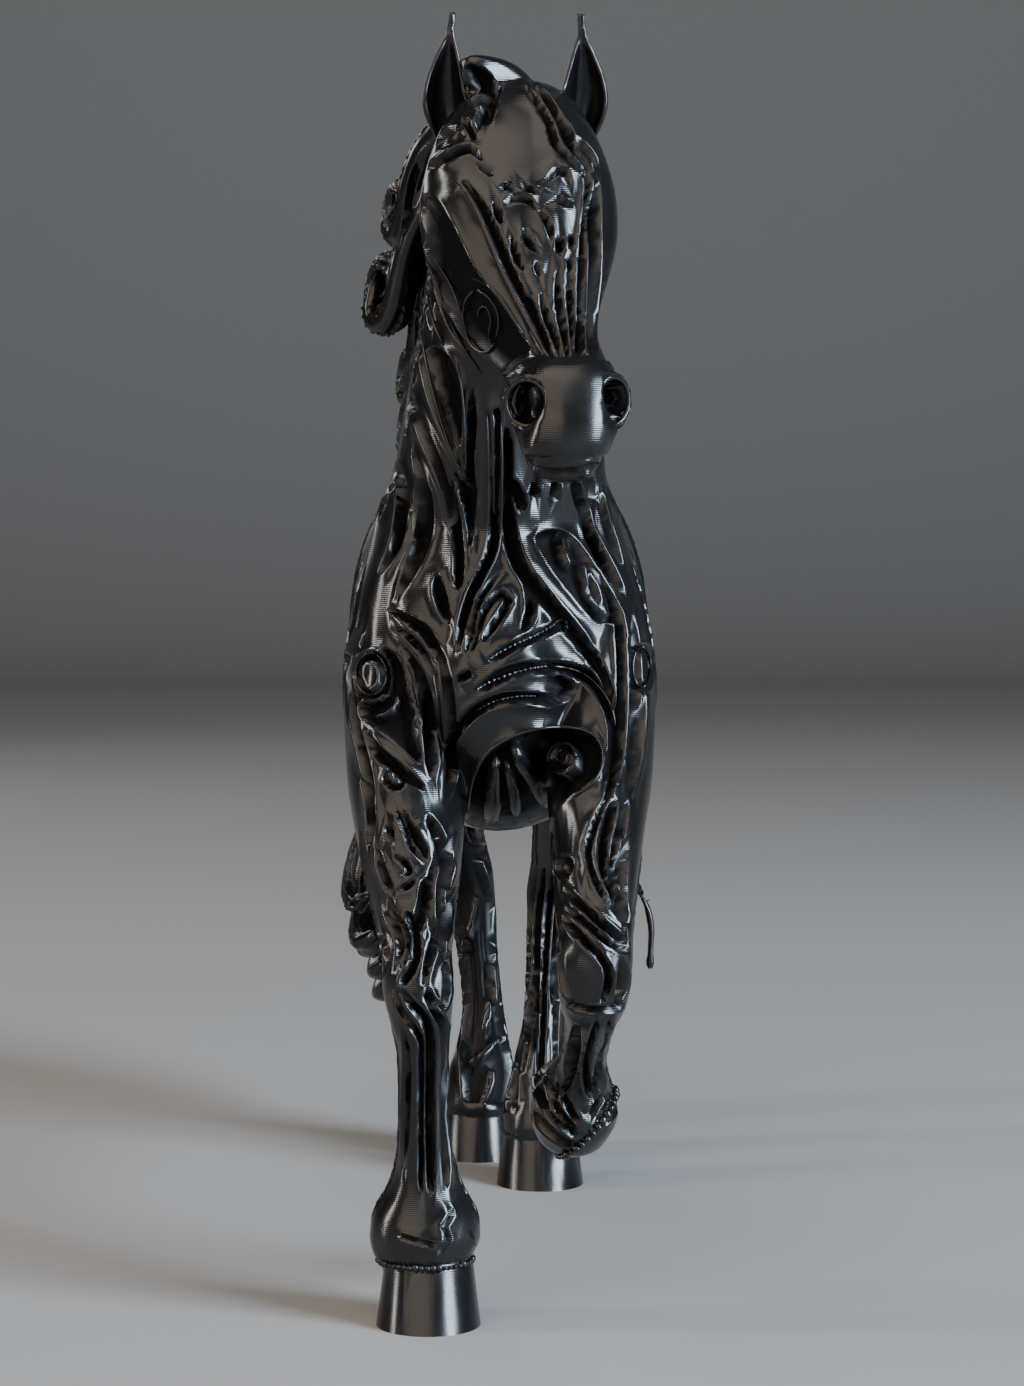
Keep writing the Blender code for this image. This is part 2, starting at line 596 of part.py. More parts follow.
def groove(u, v, line, width, wall, stretch=None, around=False, ends=(0.6, 0.6)):
    """How deep each point lies in one tapered groove, 0 to 1: width is half of it, wall the run of its side."""
    out = np.zeros(len(u))
    low = line.min(axis=0) - width - wall
    high = line.max(axis=0) + width + wall
    near = (v > low[1]) & (v < high[1])
    if not around:
        near &= (u > low[0]) & (u < high[0])
    pick = np.nonzero(near)[0]
    if len(pick) == 0:
        return out
    pu, pv = u[pick], v[pick]
    scale = np.ones(len(pick)) if stretch is None else stretch[pick]
    step = np.linalg.norm(np.diff(line, axis=0), axis=1)
    total = max(float(step.sum()), 1e-9)
    run = np.concatenate([[0.0], np.cumsum(step)]) / total
    best = np.full(len(pick), 1e9)
    where = np.zeros(len(pick))
    for i in range(len(line) - 1):
        du = line[i, 0] - pu
        if around:
            du = (du + math.pi) % (2.0 * math.pi) - math.pi
        ax = du * scale
        ay = line[i, 1] - pv
        bx = (line[i + 1, 0] - line[i, 0]) * scale
        by = np.full(len(pick), line[i + 1, 1] - line[i, 1])
        square = np.maximum(bx * bx + by * by, 1e-12)
        t = np.clip(-(ax * bx + ay * by) / square, 0.0, 1.0)
        apart = np.hypot(ax + bx * t, ay + by * t)
        closer = apart < best
        best = np.where(closer, apart, best)
        where = np.where(closer, run[i] + (run[i + 1] - run[i]) * t, where)
    taper = np.ones(len(pick))
    if ends[0] > 0.0:
        taper = taper * np.clip(where / (0.35 * ends[0]), 0.0, 1.0) ** 0.6
    if ends[1] > 0.0:
        taper = taper * np.clip((1.0 - where) / (0.35 * ends[1]), 0.0, 1.0) ** 0.6
    inside = ramp(width * taper - best, -0.5 * wall, 0.5 * wall)
    out[pick] = inside * np.clip(taper, 0.0, 1.0) ** 0.4
    return out


def between(first, last, count):
    """Lines that turn one guide into the other."""
    first, last = path(first, 12), path(last, 12)
    size = min(len(first), len(last))
    a = first[np.linspace(0, len(first) - 1, size).astype(int)]
    b = last[np.linspace(0, len(last) - 1, size).astype(int)]
    return [a + (b - a) * (k / max(1, count - 1)) for k in range(count)]


# The carving as it is seen from in front: limbs, half width, how many lines, first guide, last guide.
BODY = ("trunk", "neck", "fore_standing", "fore_lifted")
CHEST_CUTS = (
    (BODY, 6.6, 1, ((508, 486), (511, 541), (534, 585), (573, 632), (605, 679), (615, 703)), None),
    (BODY, 8.5, 1, ((547, 540), (566, 564), (588, 598), (606, 618)), None),
    (BODY, 5.0, 2, ((585, 500), (597, 551), (624, 594)), ((601, 490), (611, 545), (626, 570))),
    (BODY, 4.4, 1, ((634, 614), (635, 660), (634, 720), (628, 790)), None),
    (BODY, 4.4, 1, ((496, 470), (492, 550), (470, 594), (458, 652)), None),
    (BODY, 4.8, 1, ((452, 480), (459, 560), (457, 590)), None),
    (BODY, 7.0, 2, ((421, 476), (424, 535), (398, 596)), ((396, 480), (392, 545), (376, 574))),
    (BODY, 5.4, 1, ((436, 572), (440, 596), (449, 623)), None),
    (BODY, 4.8, 2, ((517, 568), (531, 600), (523, 631)), ((502, 594), (482, 612), (473, 650))),
    (BODY, 4.4, 1, ((489, 661), (530, 639), (565, 620)), None),
    (BODY, 6.0, 1, ((475, 693), (522, 669), (586, 676), (615, 728), (604, 780)), None),
    (BODY, 5.2, 1, ((454, 742), (490, 703), (550, 700), (569, 686)), None),
    (BODY, 6.4, 1, ((470, 812), (479, 768), (512, 741), (562, 737), (594, 750), (588, 782)), None),
    (BODY, 4.8, 2, ((504, 826), (504, 798), (502, 766)), ((530, 818), (525, 790), (512, 762))),
    (BODY, 4.8, 1, ((441, 655), (451, 730), (446, 802)), None),
    (BODY, 5.4, 1, ((403, 648), (426, 693), (433, 778)), None),
    (BODY, 8.0, 1, ((388, 656), (398, 700), (414, 750)), None),
    (BODY, 4.8, 1, ((388, 608), (425, 632), (446, 670)), None),
    (BODY, 4.4, 1, ((362, 628), (348, 676), (358, 732), (372, 796)), None),
    (BODY, 5.2, 1, ((366, 732), (392, 764), (426, 790)), None),
)
HEAD_CUTS = (
    (("neck",), 4.2, 2, ((416, 300), (432, 390), (458, 462)), ((406, 350), (424, 432), (452, 530))),
    (("neck",), 4.4, 1, ((472, 388), (469, 462), (470, 545)), None),
    (("head",), 9.0, 2, ((442, 214), (470, 270), (494, 310), (518, 344)),
     ((428, 230), (446, 280), (470, 330), (500, 360))),
    (("head",), 4.4, 1, ((462, 180), (491, 226), (519, 290), (552, 356)), None),
    (("head",), 4.4, 2, ((586, 170), (586, 250), (580, 357)), ((602, 182), (596, 260), (593, 356))),
    (("head",), 3.6, 2, ((530, 294), (543, 330), (556, 362)), ((560, 268), (564, 330), (570, 362))),
    (("head",), 4.2, 1, ((424, 170), (458, 152), (482, 160)), None),
    (("head",), 4.2, 2, ((503, 86), (494, 104), (486, 126)), ((530, 84), (552, 124), (586, 172))),
    (("head",), 4.0, 2, ((494, 200), (500, 214), (504, 226)), ((552, 200), (560, 216), (564, 240))),
)
LEG_CUTS = (
    (("fore_standing",), 4.2, 1, ((404, 812), (414, 833), (428, 860)), None),
    (("fore_standing",), 7.0, 1, ((434, 822), (446, 852), (446, 886)), None),
    (("fore_standing",), 6.0, 2, ((427, 882), (424, 900), (417, 926)), ((411, 916), (418, 950), (404, 982))),
    (("fore_standing",), 4.2, 1, ((449, 902), (433, 946), (424, 986)), None),
    (("fore_standing",), 3.6, 2, ((397, 990), (408, 1020), (421, 1046), (421, 1196)),
     ((424, 990), (432, 1012), (434, 1046), (434, 1196))),
    (("fore_lifted",), 5.4, 1, ((611, 799), (602, 850), (612, 890), (628, 923)), None),
    (("fore_lifted",), 4.0, 2, ((564, 888), (596, 919), (628, 945)), ((563, 915), (596, 950), (606, 1002))),
    (("fore_lifted",), 3.6, 2, ((598, 1020), (587, 1054), (588, 1096)), ((611, 1016), (604, 1054), (600, 1092))),
    (("fore_lifted", "hoof"), 3.6, 2, ((545, 1086), (556, 1110), (576, 1130)),
     ((564, 1086), (576, 1104), (587, 1122))),
    (("fore_lifted", "hoof"), 3.6, 1, ((619, 1094), (606, 1116), (595, 1134)), None),
    (("hind_far",), 5.0, 2, ((470, 868), (478, 900), (462, 960)), ((488, 862), (496, 905), (504, 950))),
    (("hind_far",), 4.6, 2, ((484, 985), (470, 1010), (468, 1040)), ((506, 980), (502, 1010), (490, 1046))),
    (("hind_near",), 3.6, 2, ((538, 868), (532, 920), (528, 1040)), ((556, 880), (550, 940), (544, 1050))),
)


def carve_front(skin):
    """The bands that the front of the figure shows."""
    u, v, facing = skin.front_chart()
    square = ramp(facing, 0.10, 0.30)
    cut = np.zeros(len(u))
    for names, half, count, first, last in CHEST_CUTS + HEAD_CUTS + LEG_CUTS:
        pick = np.nonzero(skin.among(*names) & (facing > 0.1))[0]
        for line in between(first, last or first, count):
            depth = groove(u[pick], v[pick], line, half, GROOVE_WALL / MARK)
            cut[pick] = np.maximum(cut[pick], depth * square[pick])
    return cut


def ring_of(centre, half, start, sweep, steps=16):
    """Part of an ellipse as a line."""
    turn = start + sweep * np.arange(steps + 1) / steps
    return np.stack([centre[0] + half[0] * np.cos(turn), centre[1] + half[1] * np.sin(turn)], axis=1)


def scroll(centre, radius, start, turns, steps=26):
    """A spiral line that opens outward."""
    t = np.arange(steps + 1) / steps
    turn = start + turns * 2.0 * math.pi * t
    grow = radius * (0.18 + 0.82 * t)
    return np.stack([centre[0] + grow * np.cos(turn), centre[1] + grow * np.sin(turn)], axis=1)


def side_lines():
    """The carving of one flank in y and z: neck, shoulder, barrel and haunch."""
    lines = []
    for k in range(4):
        lines.append(path(((-0.360 + 0.034 * k, 0.835 + 0.012 * k), (-0.300 + 0.036 * k, 0.735),
                           (-0.275 + 0.045 * k, 0.640)), 12))
    lines.append(scroll((-0.205, 0.545), 0.036, 1.2, 1.2))
    for k in range(3):
        lines.append(path(((-0.150 + 0.026 * k, 0.640), (-0.150 + 0.030 * k, 0.540),
                           (-0.215 + 0.036 * k, 0.430)), 12))
    for k in range(5):
        drop = 0.046 * k
        lines.append(path(((-0.060 + 0.012 * k, 0.640 - drop), (0.030, 0.590 - 0.85 * drop),
                           (0.110, 0.600 - drop), (0.175 - 0.006 * k, 0.648 - 1.15 * drop)), 15))
    lines.append(scroll((0.275, 0.565), 0.056, 2.4, 1.3))
    for k in range(3):
        lines.append(path(((0.205 + 0.014 * k, 0.630 - 0.045 * k), (0.170 + 0.028 * k, 0.520 - 0.01 * k),
                           (0.205 + 0.032 * k, 0.405)), 12))
    for k in range(2):
        lines.append(path(((0.350 + 0.020 * k, 0.600), (0.362 + 0.014 * k, 0.520), (0.318 + 0.016 * k, 0.430)), 12))
    return lines


def carve_sides(skin):
    """The same flowing bands on both flanks."""
    y, z = skin.points[:, 1], skin.points[:, 2]
    cut = np.zeros(len(y))
    legs = skin.among("fore_standing", "fore_lifted") & (z > 0.40)
    hind = skin.among("hind_near", "hind_far") & (z > 0.36)
    keep = skin.among("trunk", "neck") | legs | hind
    for sign in (-1.0, 1.0):
        flat = ramp(sign * skin.normals[:, 0], 0.35, 0.6) * (1.0 - ramp(skin.front_chart()[2], 0.24, 0.38))
        pick = np.nonzero(keep & (flat > 0.0))[0]
        for line in side_lines():
            depth = groove(y[pick], z[pick], line, GROOVE_WIDTH, GROOVE_WALL)
            cut[pick] = np.maximum(cut[pick], depth * flat[pick])
    return cut


def carve_back(skin):
    """Long lines over the back and arcs round the buttocks."""
    x, y, z = skin.points[:, 0], skin.points[:, 1], skin.points[:, 2]
    cut = np.zeros(len(x))
    keep = skin.among("trunk", "neck", "hind_near", "hind_far") & (z > 0.42)
    up = ramp(skin.normals[:, 2], 0.35, 0.6)
    rear = ramp(skin.normals[:, 1], 0.45, 0.7)
    for sign in (-1.0, 1.0):
        pick = np.nonzero(keep & (up > 0.0))[0]
        for k in range(2):
            line = path(((sign * (0.018 + 0.024 * k), -0.060), (sign * (0.030 + 0.028 * k), 0.060),
                         (sign * (0.020 + 0.024 * k), 0.180), (sign * (0.034 + 0.026 * k), 0.320)), 15)
            depth = groove(x[pick], y[pick], line, GROOVE_WIDTH, GROOVE_WALL)
            cut[pick] = np.maximum(cut[pick], depth * up[pick])
        pick = np.nonzero(keep & (rear > 0.0))[0]
        for k in range(3):
            line = path(((sign * (0.034 + 0.022 * k), 0.610), (sign * (0.050 + 0.022 * k), 0.540),
                         (sign * (0.036 + 0.018 * k), 0.450)), 10)
            depth = groove(x[pick], z[pick], line, GROOVE_WIDTH, GROOVE_WALL)
            cut[pick] = np.maximum(cut[pick], depth * rear[pick])
    return cut


def carve_legs(skin):
    """Flutes down the shins and slanting bands over the forearms and thighs, off the front."""
    cut = np.zeros(len(skin.turn))
    off = 1.0 - ramp(skin.front_chart()[2], 0.24, 0.42)
    ranges = {"fore_standing": (0.46, 0.62, 0.31, 0.44), "fore_lifted": (0.47, 0.63, 0.31, 0.44),
              "hind_near": (0.42, 0.56, 0.20, 0.38), "hind_far": (0.42, 0.56, 0.20, 0.38)}
    for name, (shin_0, shin_1, arm_0, arm_1) in ranges.items():
        pick = np.nonzero(skin.among(name))[0]
        u, v, r = skin.turn[pick], skin.along[pick], skin.radius[pick]
        for k in range(5):
            turn = 0.5 * math.pi + (k - 2) * 2.0 * math.pi / 5.0
            line = path(((turn - 0.12, shin_0), (turn, 0.5 * (shin_0 + shin_1)), (turn + 0.08, shin_1)), 8)
            depth = groove(u, v, line, GROOVE_WIDTH * 0.8, GROOVE_WALL, stretch=r, around=True)
            cut[pick] = np.maximum(cut[pick], depth * off[pick])
        for k in range(5):
            turn = 0.2 + k * 2.0 * math.pi / 5.0
            line = path(((turn, arm_0), (turn + 0.55, 0.5 * (arm_0 + arm_1)), (turn + 0.35, arm_1)), 8)
            depth = groove(u, v, line, GROOVE_WIDTH * 0.95, GROOVE_WALL, stretch=r, around=True)
            cut[pick] = np.maximum(cut[pick], depth * off[pick])
    return cut


def carve_nostrils(skin):
    """The hollow inside each nostril collar."""
    dish = np.zeros((len(skin.points), 3))
    for centre, turn, radius in NOSTRILS:
        out, level, up = nostril_frame(turn)
        arm = skin.points - np.array(centre)
        far = np.hypot(arm @ level, (arm @ up) / 1.06) / (radius - 1.2 * NOSTRIL_RIM)
        near = (np.abs(arm @ out) < 0.022) & (skin.normals @ out > 0.2)
        dish -= out * (NOSTRIL_DISH * ramp(1.0 - far, 0.0, 0.45) * near)[:, None]
    return dish


def cut_floor(mesh):
    """Cut everything under the floor away and close the soles with flat faces."""
    shell = bmesh.new()
    shell.from_mesh(mesh)
    geometry = shell.verts[:] + shell.edges[:] + shell.faces[:]
    bmesh.ops.bisect_plane(shell, geom=geometry, dist=1e-7, plane_co=(0.0, 0.0, 0.0), plane_no=(0.0, 0.0, -1.0),
                           clear_outer=True)
    rim = [e for e in shell.edges if e.is_boundary]
    bmesh.ops.contextual_create(shell, geom=rim)
    bmesh.ops.recalc_face_normals(shell, faces=shell.faces[:])
    shell.to_mesh(mesh)
    shell.free()


def filament_material():
    """Glossy black filament."""
    material = bpy.data.materials.new(FILAMENT["name"])
    material.use_nodes = True
    shader = material.node_tree.nodes["Principled BSDF"]
    shader.inputs["Base Color"].default_value = FILAMENT["colour"]
    shader.inputs["Roughness"].default_value = FILAMENT["roughness"]
    shader.inputs["Metallic"].default_value = FILAMENT["metallic"]
    material.diffuse_color = FILAMENT["colour"]
    return material


def build():
    """The whole horse as one closed solid."""
    for item in list(bpy.data.objects):
        bpy.data.objects.remove(item)
    lofts = all_lofts()
    mesh = union_mesh(lofts, VOXEL)
    edges = edges_of(mesh)
    points = points_of(mesh)
    marked = lofts + markers()
    skin = Skin(points, normals_of(mesh), marked)
    fine = skin.among("ear") | (np.min([np.linalg.norm(points - np.array(c), axis=1)
                                        for c, _, _ in NOSTRILS], axis=0) < 0.024)
    points = relax(points, edges, np.where(fine, 0.12, 0.55), 4)
    points = relax(points, edges, np.where(fine | skin.among("hoof"), 0.0, 0.6 * skin.seam), 26)
    put_points(mesh, points)
    skin = Skin(points, normals_of(mesh), marked)
    cut = np.max([carve_front(skin), carve_sides(skin), carve_back(skin), carve_legs(skin)], axis=0)
    points = points - skin.normals * (GROOVE_DEPTH * cut)[:, None] + carve_nostrils(skin)
    put_points(mesh, points)
    faces = len(mesh.polygons) * 2
    mesh = modified(mesh, "DECIMATE", ratio=TRIANGLES / faces)
    cut_floor(mesh)
    mesh.transform(Matrix.Translation((-ORIGIN[0] * HEIGHT, -ORIGIN[1] * HEIGHT, 0.0)))
    mesh.materials.clear()
    mesh.materials.append(filament_material())
    mesh.name = "horse"
    horse = bpy.data.objects.new("horse", mesh)
    box = bpy.data.collections.new("horse_sculpture")
    bpy.context.scene.collection.children.link(box)
    box.objects.link(horse)
    return horse


build()
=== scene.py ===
import logging
import math
from dataclasses import dataclass, field
from enum import Enum
from typing import Dict, Iterable, List, Optional, Sequence, Tuple, Union

import bmesh
import bpy
import numpy as np
from mathutils import Matrix, Vector
from mathutils.bvhtree import BVHTree
from mathutils.kdtree import KDTree


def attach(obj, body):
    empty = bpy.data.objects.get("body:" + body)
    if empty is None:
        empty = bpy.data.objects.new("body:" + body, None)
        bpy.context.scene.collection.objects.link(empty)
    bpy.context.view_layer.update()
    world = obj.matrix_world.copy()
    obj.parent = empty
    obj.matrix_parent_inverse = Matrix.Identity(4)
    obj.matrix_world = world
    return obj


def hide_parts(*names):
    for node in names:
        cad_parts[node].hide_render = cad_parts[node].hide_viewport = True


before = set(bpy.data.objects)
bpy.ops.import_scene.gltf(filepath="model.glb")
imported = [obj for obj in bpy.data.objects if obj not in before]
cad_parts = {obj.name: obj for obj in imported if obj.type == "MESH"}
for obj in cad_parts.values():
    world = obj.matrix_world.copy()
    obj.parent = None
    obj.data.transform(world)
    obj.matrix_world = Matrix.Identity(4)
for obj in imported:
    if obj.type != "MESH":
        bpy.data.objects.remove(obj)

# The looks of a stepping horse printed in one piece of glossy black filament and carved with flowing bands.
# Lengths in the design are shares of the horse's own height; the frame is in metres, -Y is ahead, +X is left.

logging.basicConfig(level=logging.INFO, format="%(message)s")
log = logging.getLogger("horse")

Row = Tuple[float, ...]
Pixel = Tuple[float, float]
Line = Union[str, Sequence[Pixel]]

# The horse's height and its printed layers in metres, and where the frame's origin lies in the design.
HEIGHT = 0.130
LAYER = 0.0002
ORIGIN = (-0.0167, 0.0363)
# The skin's first grid in metres, and how many triangles stay on the side that the photograph shows.
VOXEL = 0.00018
SHOWN_TRIANGLES = 100000
OTHER_TRIANGLES = 70000
# How far the hooves reach below the floor before they are cut, and the first random seed.
SINK = 0.03
SEED = 11

# The place the photograph was taken from, its image, and one of its pixels at the standing hoof.
IMAGE = (1024, 1386)
FOCAL_PX = 3435.0
VIEW = (0.011, -2.98, 0.63)
VIEW_PITCH = math.radians(3.115)
PX = 1.0 / 1318.0

# The carving: depth, how far a wall slopes, height and width of the lips, the usual taper of a cut's ends.
CHANNEL_DEPTH = 0.0115
CHANNEL_WALL = 0.0018
LIP = 0.0018
LIP_WIDTH = 0.0017
END_TAPER = 0.35
# The point attribute that says how deep a point was cut, which the finish turns into painted shade in the
# cuts, and a wave of the printed layers for a layer of 1.
DEPTH_LAYER = "carved"
WAVE_SCALE = 0.31416


class Chart(Enum):
    """The flat maps that carving is drawn on."""

    FRONT = "front"
    SIDE = "side"
    TOP = "top"
    REAR = "rear"
    LIMB = "limb"


class Group(str, Enum):
    """Regions of the figure."""

    TRUNK = "trunk"
    NECK = "neck"
    HEAD = "head"
    FORE_STANDING = "fore_standing"
    FORE_LIFTED = "fore_lifted"
    HIND_NEAR = "hind_near"
    HIND_FAR = "hind_far"
    MANE = "mane"
    TAIL = "tail"
    EAR = "ear"
    HOOF = "hoof"
    SPUR = "spur"


BODY = (Group.TRUNK, Group.NECK, Group.FORE_STANDING, Group.FORE_LIFTED)

# Rows: x, y, z of the centre, half size to each side, half size to the fore side, half size to the aft side.
TRUNK: Tuple[Row, ...] = (
    (0.0, 0.408, 0.585, 0.030, 0.030, 0.045),
    (0.0, 0.390, 0.580, 0.058, 0.062, 0.085),
    (0.0, 0.345, 0.572, 0.088, 0.096, 0.105),
    (0.0, 0.285, 0.565, 0.106, 0.118, 0.118),
    (0.0, 0.220, 0.555, 0.114, 0.129, 0.128),
    (0.0, 0.140, 0.540, 0.114, 0.130, 0.142),
    (0.0, 0.050, 0.530, 0.121, 0.135, 0.158),
    (0.0, -0.040, 0.530, 0.124, 0.145, 0.168),
    (0.0, -0.120, 0.530, 0.123, 0.166, 0.168),
    (0.0, -0.200, 0.520, 0.119, 0.160, 0.152),
    (0.0, -0.265, 0.505, 0.108, 0.135, 0.140),
    (0.0, -0.310, 0.493, 0.088, 0.105, 0.115),
    (0.0, -0.338, 0.487, 0.050, 0.065, 0.075),
)
NECK: Tuple[Row, ...] = (
    (0.013, -0.346, 0.914, 0.040, 0.038, 0.035),
    (0.012, -0.340, 0.885, 0.052, 0.056, 0.062),
    (0.009, -0.318, 0.825, 0.060, 0.070, 0.082),
    (0.006, -0.286, 0.755, 0.069, 0.086, 0.095),
    (0.003, -0.244, 0.680, 0.081, 0.106, 0.108),
    (0.0, -0.195, 0.610, 0.091, 0.128, 0.118),
    (0.0, -0.140, 0.555, 0.104, 0.135, 0.125),
)
HEAD: Tuple[Row, ...] = (
    (0.006, -0.346, 0.950, 0.012, 0.014, 0.018),
    (0.008, -0.354, 0.936, 0.027, 0.028, 0.034),
    (0.0125, -0.366, 0.916, 0.050, 0.044, 0.050),
    (0.014, -0.384, 0.888, 0.065, 0.051, 0.066),
    (0.0155, -0.402, 0.858, 0.0720, 0.052, 0.078),
    (0.021, -0.421, 0.824, 0.0690, 0.049, 0.086),
    (0.027, -0.439, 0.791, 0.0565, 0.045, 0.080),
    (0.034, -0.454, 0.764, 0.0420, 0.040, 0.062),
    (0.042, -0.469, 0.739, 0.0320, 0.034, 0.046),
    (0.048, -0.482, 0.720, 0.0330, 0.034, 0.040),
    (0.051, -0.493, 0.702, 0.0395, 0.037, 0.040),
    (0.050, -0.503, 0.684, 0.0335, 0.034, 0.038),
    (0.0485, -0.510, 0.670, 0.0280, 0.028, 0.032),
    (0.0480, -0.513, 0.664, 0.0265, 0.023, 0.028),
)
FORELOCK: Tuple[Row, ...] = (
    (0.0250, -0.358, 0.9380, 0.016, 0.0070, 0.0090),
    (0.0145, -0.366, 0.9500, 0.015, 0.0150, 0.0095),
    (0.0040, -0.376, 0.9565, 0.013, 0.0240, 0.0085),
    (-0.0080, -0.385, 0.9605, 0.011, 0.0290, 0.0064),
    (-0.0180, -0.389, 0.9632, 0.009, 0.0300, 0.0038),
    (-0.0240, -0.389, 0.9625, 0.006, 0.0260, 0.0020),
)
FORE_STANDING: Tuple[Row, ...] = (
    (-0.060, -0.170, 0.640, 0.028, 0.075, 0.060),
    (-0.069, -0.205, 0.580, 0.038, 0.090, 0.080),
    (-0.077, -0.240, 0.510, 0.045, 0.082, 0.090),
    (-0.073, -0.288, 0.425, 0.046, 0.062, 0.068),
    (-0.068, -0.318, 0.375, 0.042, 0.050, 0.052),
    (-0.065, -0.340, 0.325, 0.0330, 0.040, 0.040),
    (-0.062, -0.354, 0.288, 0.0270, 0.033, 0.033),
    (-0.061, -0.361, 0.262, 0.0275, 0.034, 0.033),
    (-0.059, -0.362, 0.238, 0.0240, 0.030, 0.032),
    (-0.0575, -0.361, 0.212, 0.0195, 0.024, 0.027),
    (-0.0570, -0.358, 0.165, 0.0190, 0.023, 0.026),
    (-0.0565, -0.354, 0.130, 0.0215, 0.025, 0.028),
    (-0.0560, -0.350, 0.105, 0.0290, 0.029, 0.034),
    (-0.0560, -0.346, 0.086, 0.0395, 0.036, 0.040),
    (-0.0563, -0.344, 0.068, 0.0432, 0.039, 0.041),
    (-0.0560, -0.345, 0.055, 0.0415, 0.039, 0.039),
    (-0.0550, -0.347, 0.046, 0.0350, 0.036, 0.036),
)
FORE_LIFTED: Tuple[Row, ...] = (
    (0.060, -0.170, 0.640, 0.028, 0.075, 0.060),
    (0.069, -0.205, 0.580, 0.038, 0.090, 0.080),
    (0.079, -0.243, 0.510, 0.045, 0.082, 0.090),
    (0.079, -0.300, 0.430, 0.0425, 0.060, 0.064),
    (0.0765, -0.345, 0.385, 0.0370, 0.048, 0.048),
    (0.0745, -0.385, 0.343, 0.0315, 0.038, 0.038),
    (0.0735, -0.410, 0.312, 0.0290, 0.034, 0.032),
    (0.0730, -0.418, 0.287, 0.0285, 0.031, 0.028),
    (0.0725, -0.410, 0.263, 0.0265, 0.028, 0.023),
    (0.0710, -0.388, 0.244, 0.0200, 0.023, 0.020),
    (0.0690, -0.352, 0.221, 0.0168, 0.020, 0.019),
    (0.0665, -0.318, 0.198, 0.0175, 0.021, 0.021),
    (0.0635, -0.296, 0.180, 0.0250, 0.027, 0.027),
    (0.0610, -0.286, 0.164, 0.0335, 0.035, 0.034),
    (0.0595, -0.280, 0.150, 0.0368, 0.038, 0.037),
)
HIND_NEAR: Tuple[Row, ...] = (
    (0.062, 0.270, 0.610, 0.042, 0.085, 0.080),
    (0.072, 0.255, 0.540, 0.052, 0.105, 0.105),
    (0.076, 0.232, 0.470, 0.050, 0.085, 0.098),
    (0.072, 0.220, 0.410, 0.043, 0.062, 0.072),
    (0.065, 0.236, 0.350, 0.034, 0.045, 0.050),
    (0.057, 0.262, 0.300, 0.027, 0.034, 0.036),
    (0.052, 0.276, 0.266, 0.0265, 0.034, 0.040),
    (0.048, 0.270, 0.235, 0.0230, 0.028, 0.032),
    (0.044, 0.256, 0.195, 0.0190, 0.024, 0.025),
    (0.041, 0.238, 0.145, 0.0190, 0.024, 0.025),
    (0.039, 0.226, 0.110, 0.0250, 0.028, 0.030),
    (0.038, 0.216, 0.080, 0.0330, 0.034, 0.036),
    (0.037, 0.206, 0.056, 0.0350, 0.038, 0.038),
    (0.037, 0.202, 0.042, 0.0330, 0.036, 0.036),
)
HIND_FAR: Tuple[Row, ...] = (
    (-0.062, 0.285, 0.610, 0.042, 0.085, 0.080),
    (-0.072, 0.290, 0.540, 0.052, 0.105, 0.105),
    (-0.074, 0.292, 0.470, 0.050, 0.085, 0.094),
    (-0.066, 0.310, 0.405, 0.042, 0.060, 0.066),
    (-0.054, 0.340, 0.348, 0.033, 0.044, 0.046),
    (-0.042, 0.370, 0.302, 0.026, 0.034, 0.036),
    (-0.034, 0.385, 0.268, 0.0265, 0.034, 0.040),
    (-0.028, 0.382, 0.236, 0.0230, 0.028, 0.032),
    (-0.023, 0.372, 0.195, 0.0190, 0.024, 0.025),
    (-0.018, 0.360, 0.145, 0.0190, 0.024, 0.025),
    (-0.017, 0.353, 0.110, 0.0240, 0.028, 0.030),
    (-0.018, 0.347, 0.082, 0.0320, 0.034, 0.036),
    (-0.021, 0.343, 0.056, 0.0345, 0.038, 0.038),
    (-0.022, 0.341, 0.042, 0.0330, 0.036, 0.036),
)

# Hooves: height, how far they lean ahead, half sizes to the side, fore and aft at the top and the sole.
HOOF_TOP = 0.046
HOOF_LEAN = 0.014
HOOF_HALF_TOP = (0.0345, 0.036, 0.036)
HOOF_HALF_SOLE = (0.0405, 0.044, 0.040)
HOOVES: Dict[str, Tuple[float, float]] = {
    "hoof_fore": (-0.0535, -0.353),
    "hoof_near": (0.037, 0.200),
    "hoof_far": (-0.022, 0.340),
}
LIFTED_HOOF = ((0.0592, -0.276, 0.1515), (0.0592, -0.231, 0.156))
TOE_LEAN = 0.012
# Rows of beads: centre, axis, half across and half deep, how many, size of one.
BEADS: Tuple[Tuple[Row, Row, Tuple[float, float], int, float], ...] = (
    ((-0.0560, -0.3455, 0.0478), (0.0, 0.0, 1.0), (0.0368, 0.0372), 50, 0.0022),
    ((0.0370, 0.2060, 0.0475), (0.0, 0.0, 1.0), (0.0348, 0.0353), 42, 0.0020),
    ((-0.0220, 0.3460, 0.0475), (0.0, 0.0, 1.0), (0.0348, 0.0353), 42, 0.0020),
    ((0.0700, -0.2790, 0.1420), (0.738, 0.141, -0.661), (0.0345, 0.0345), 34, 0.0030),
)

# The thin lock that hangs outside the lifted leg, with its drop.
SPUR: Tuple[Row, ...] = (
    (0.0970, -0.378, 0.354, 0.0044, 0.0044, 0.0044),
    (0.1070, -0.374, 0.338, 0.0038, 0.0038, 0.0038),
    (0.1145, -0.371, 0.322, 0.0034, 0.0034, 0.0034),
    (0.1175, -0.370, 0.306, 0.0029, 0.0029, 0.0029),
    (0.1168, -0.370, 0.290, 0.0025, 0.0025, 0.0025),
    (0.1166, -0.370, 0.282, 0.0036, 0.0036, 0.0036),
    (0.1166, -0.370, 0.277, 0.0024, 0.0024, 0.0024),
)

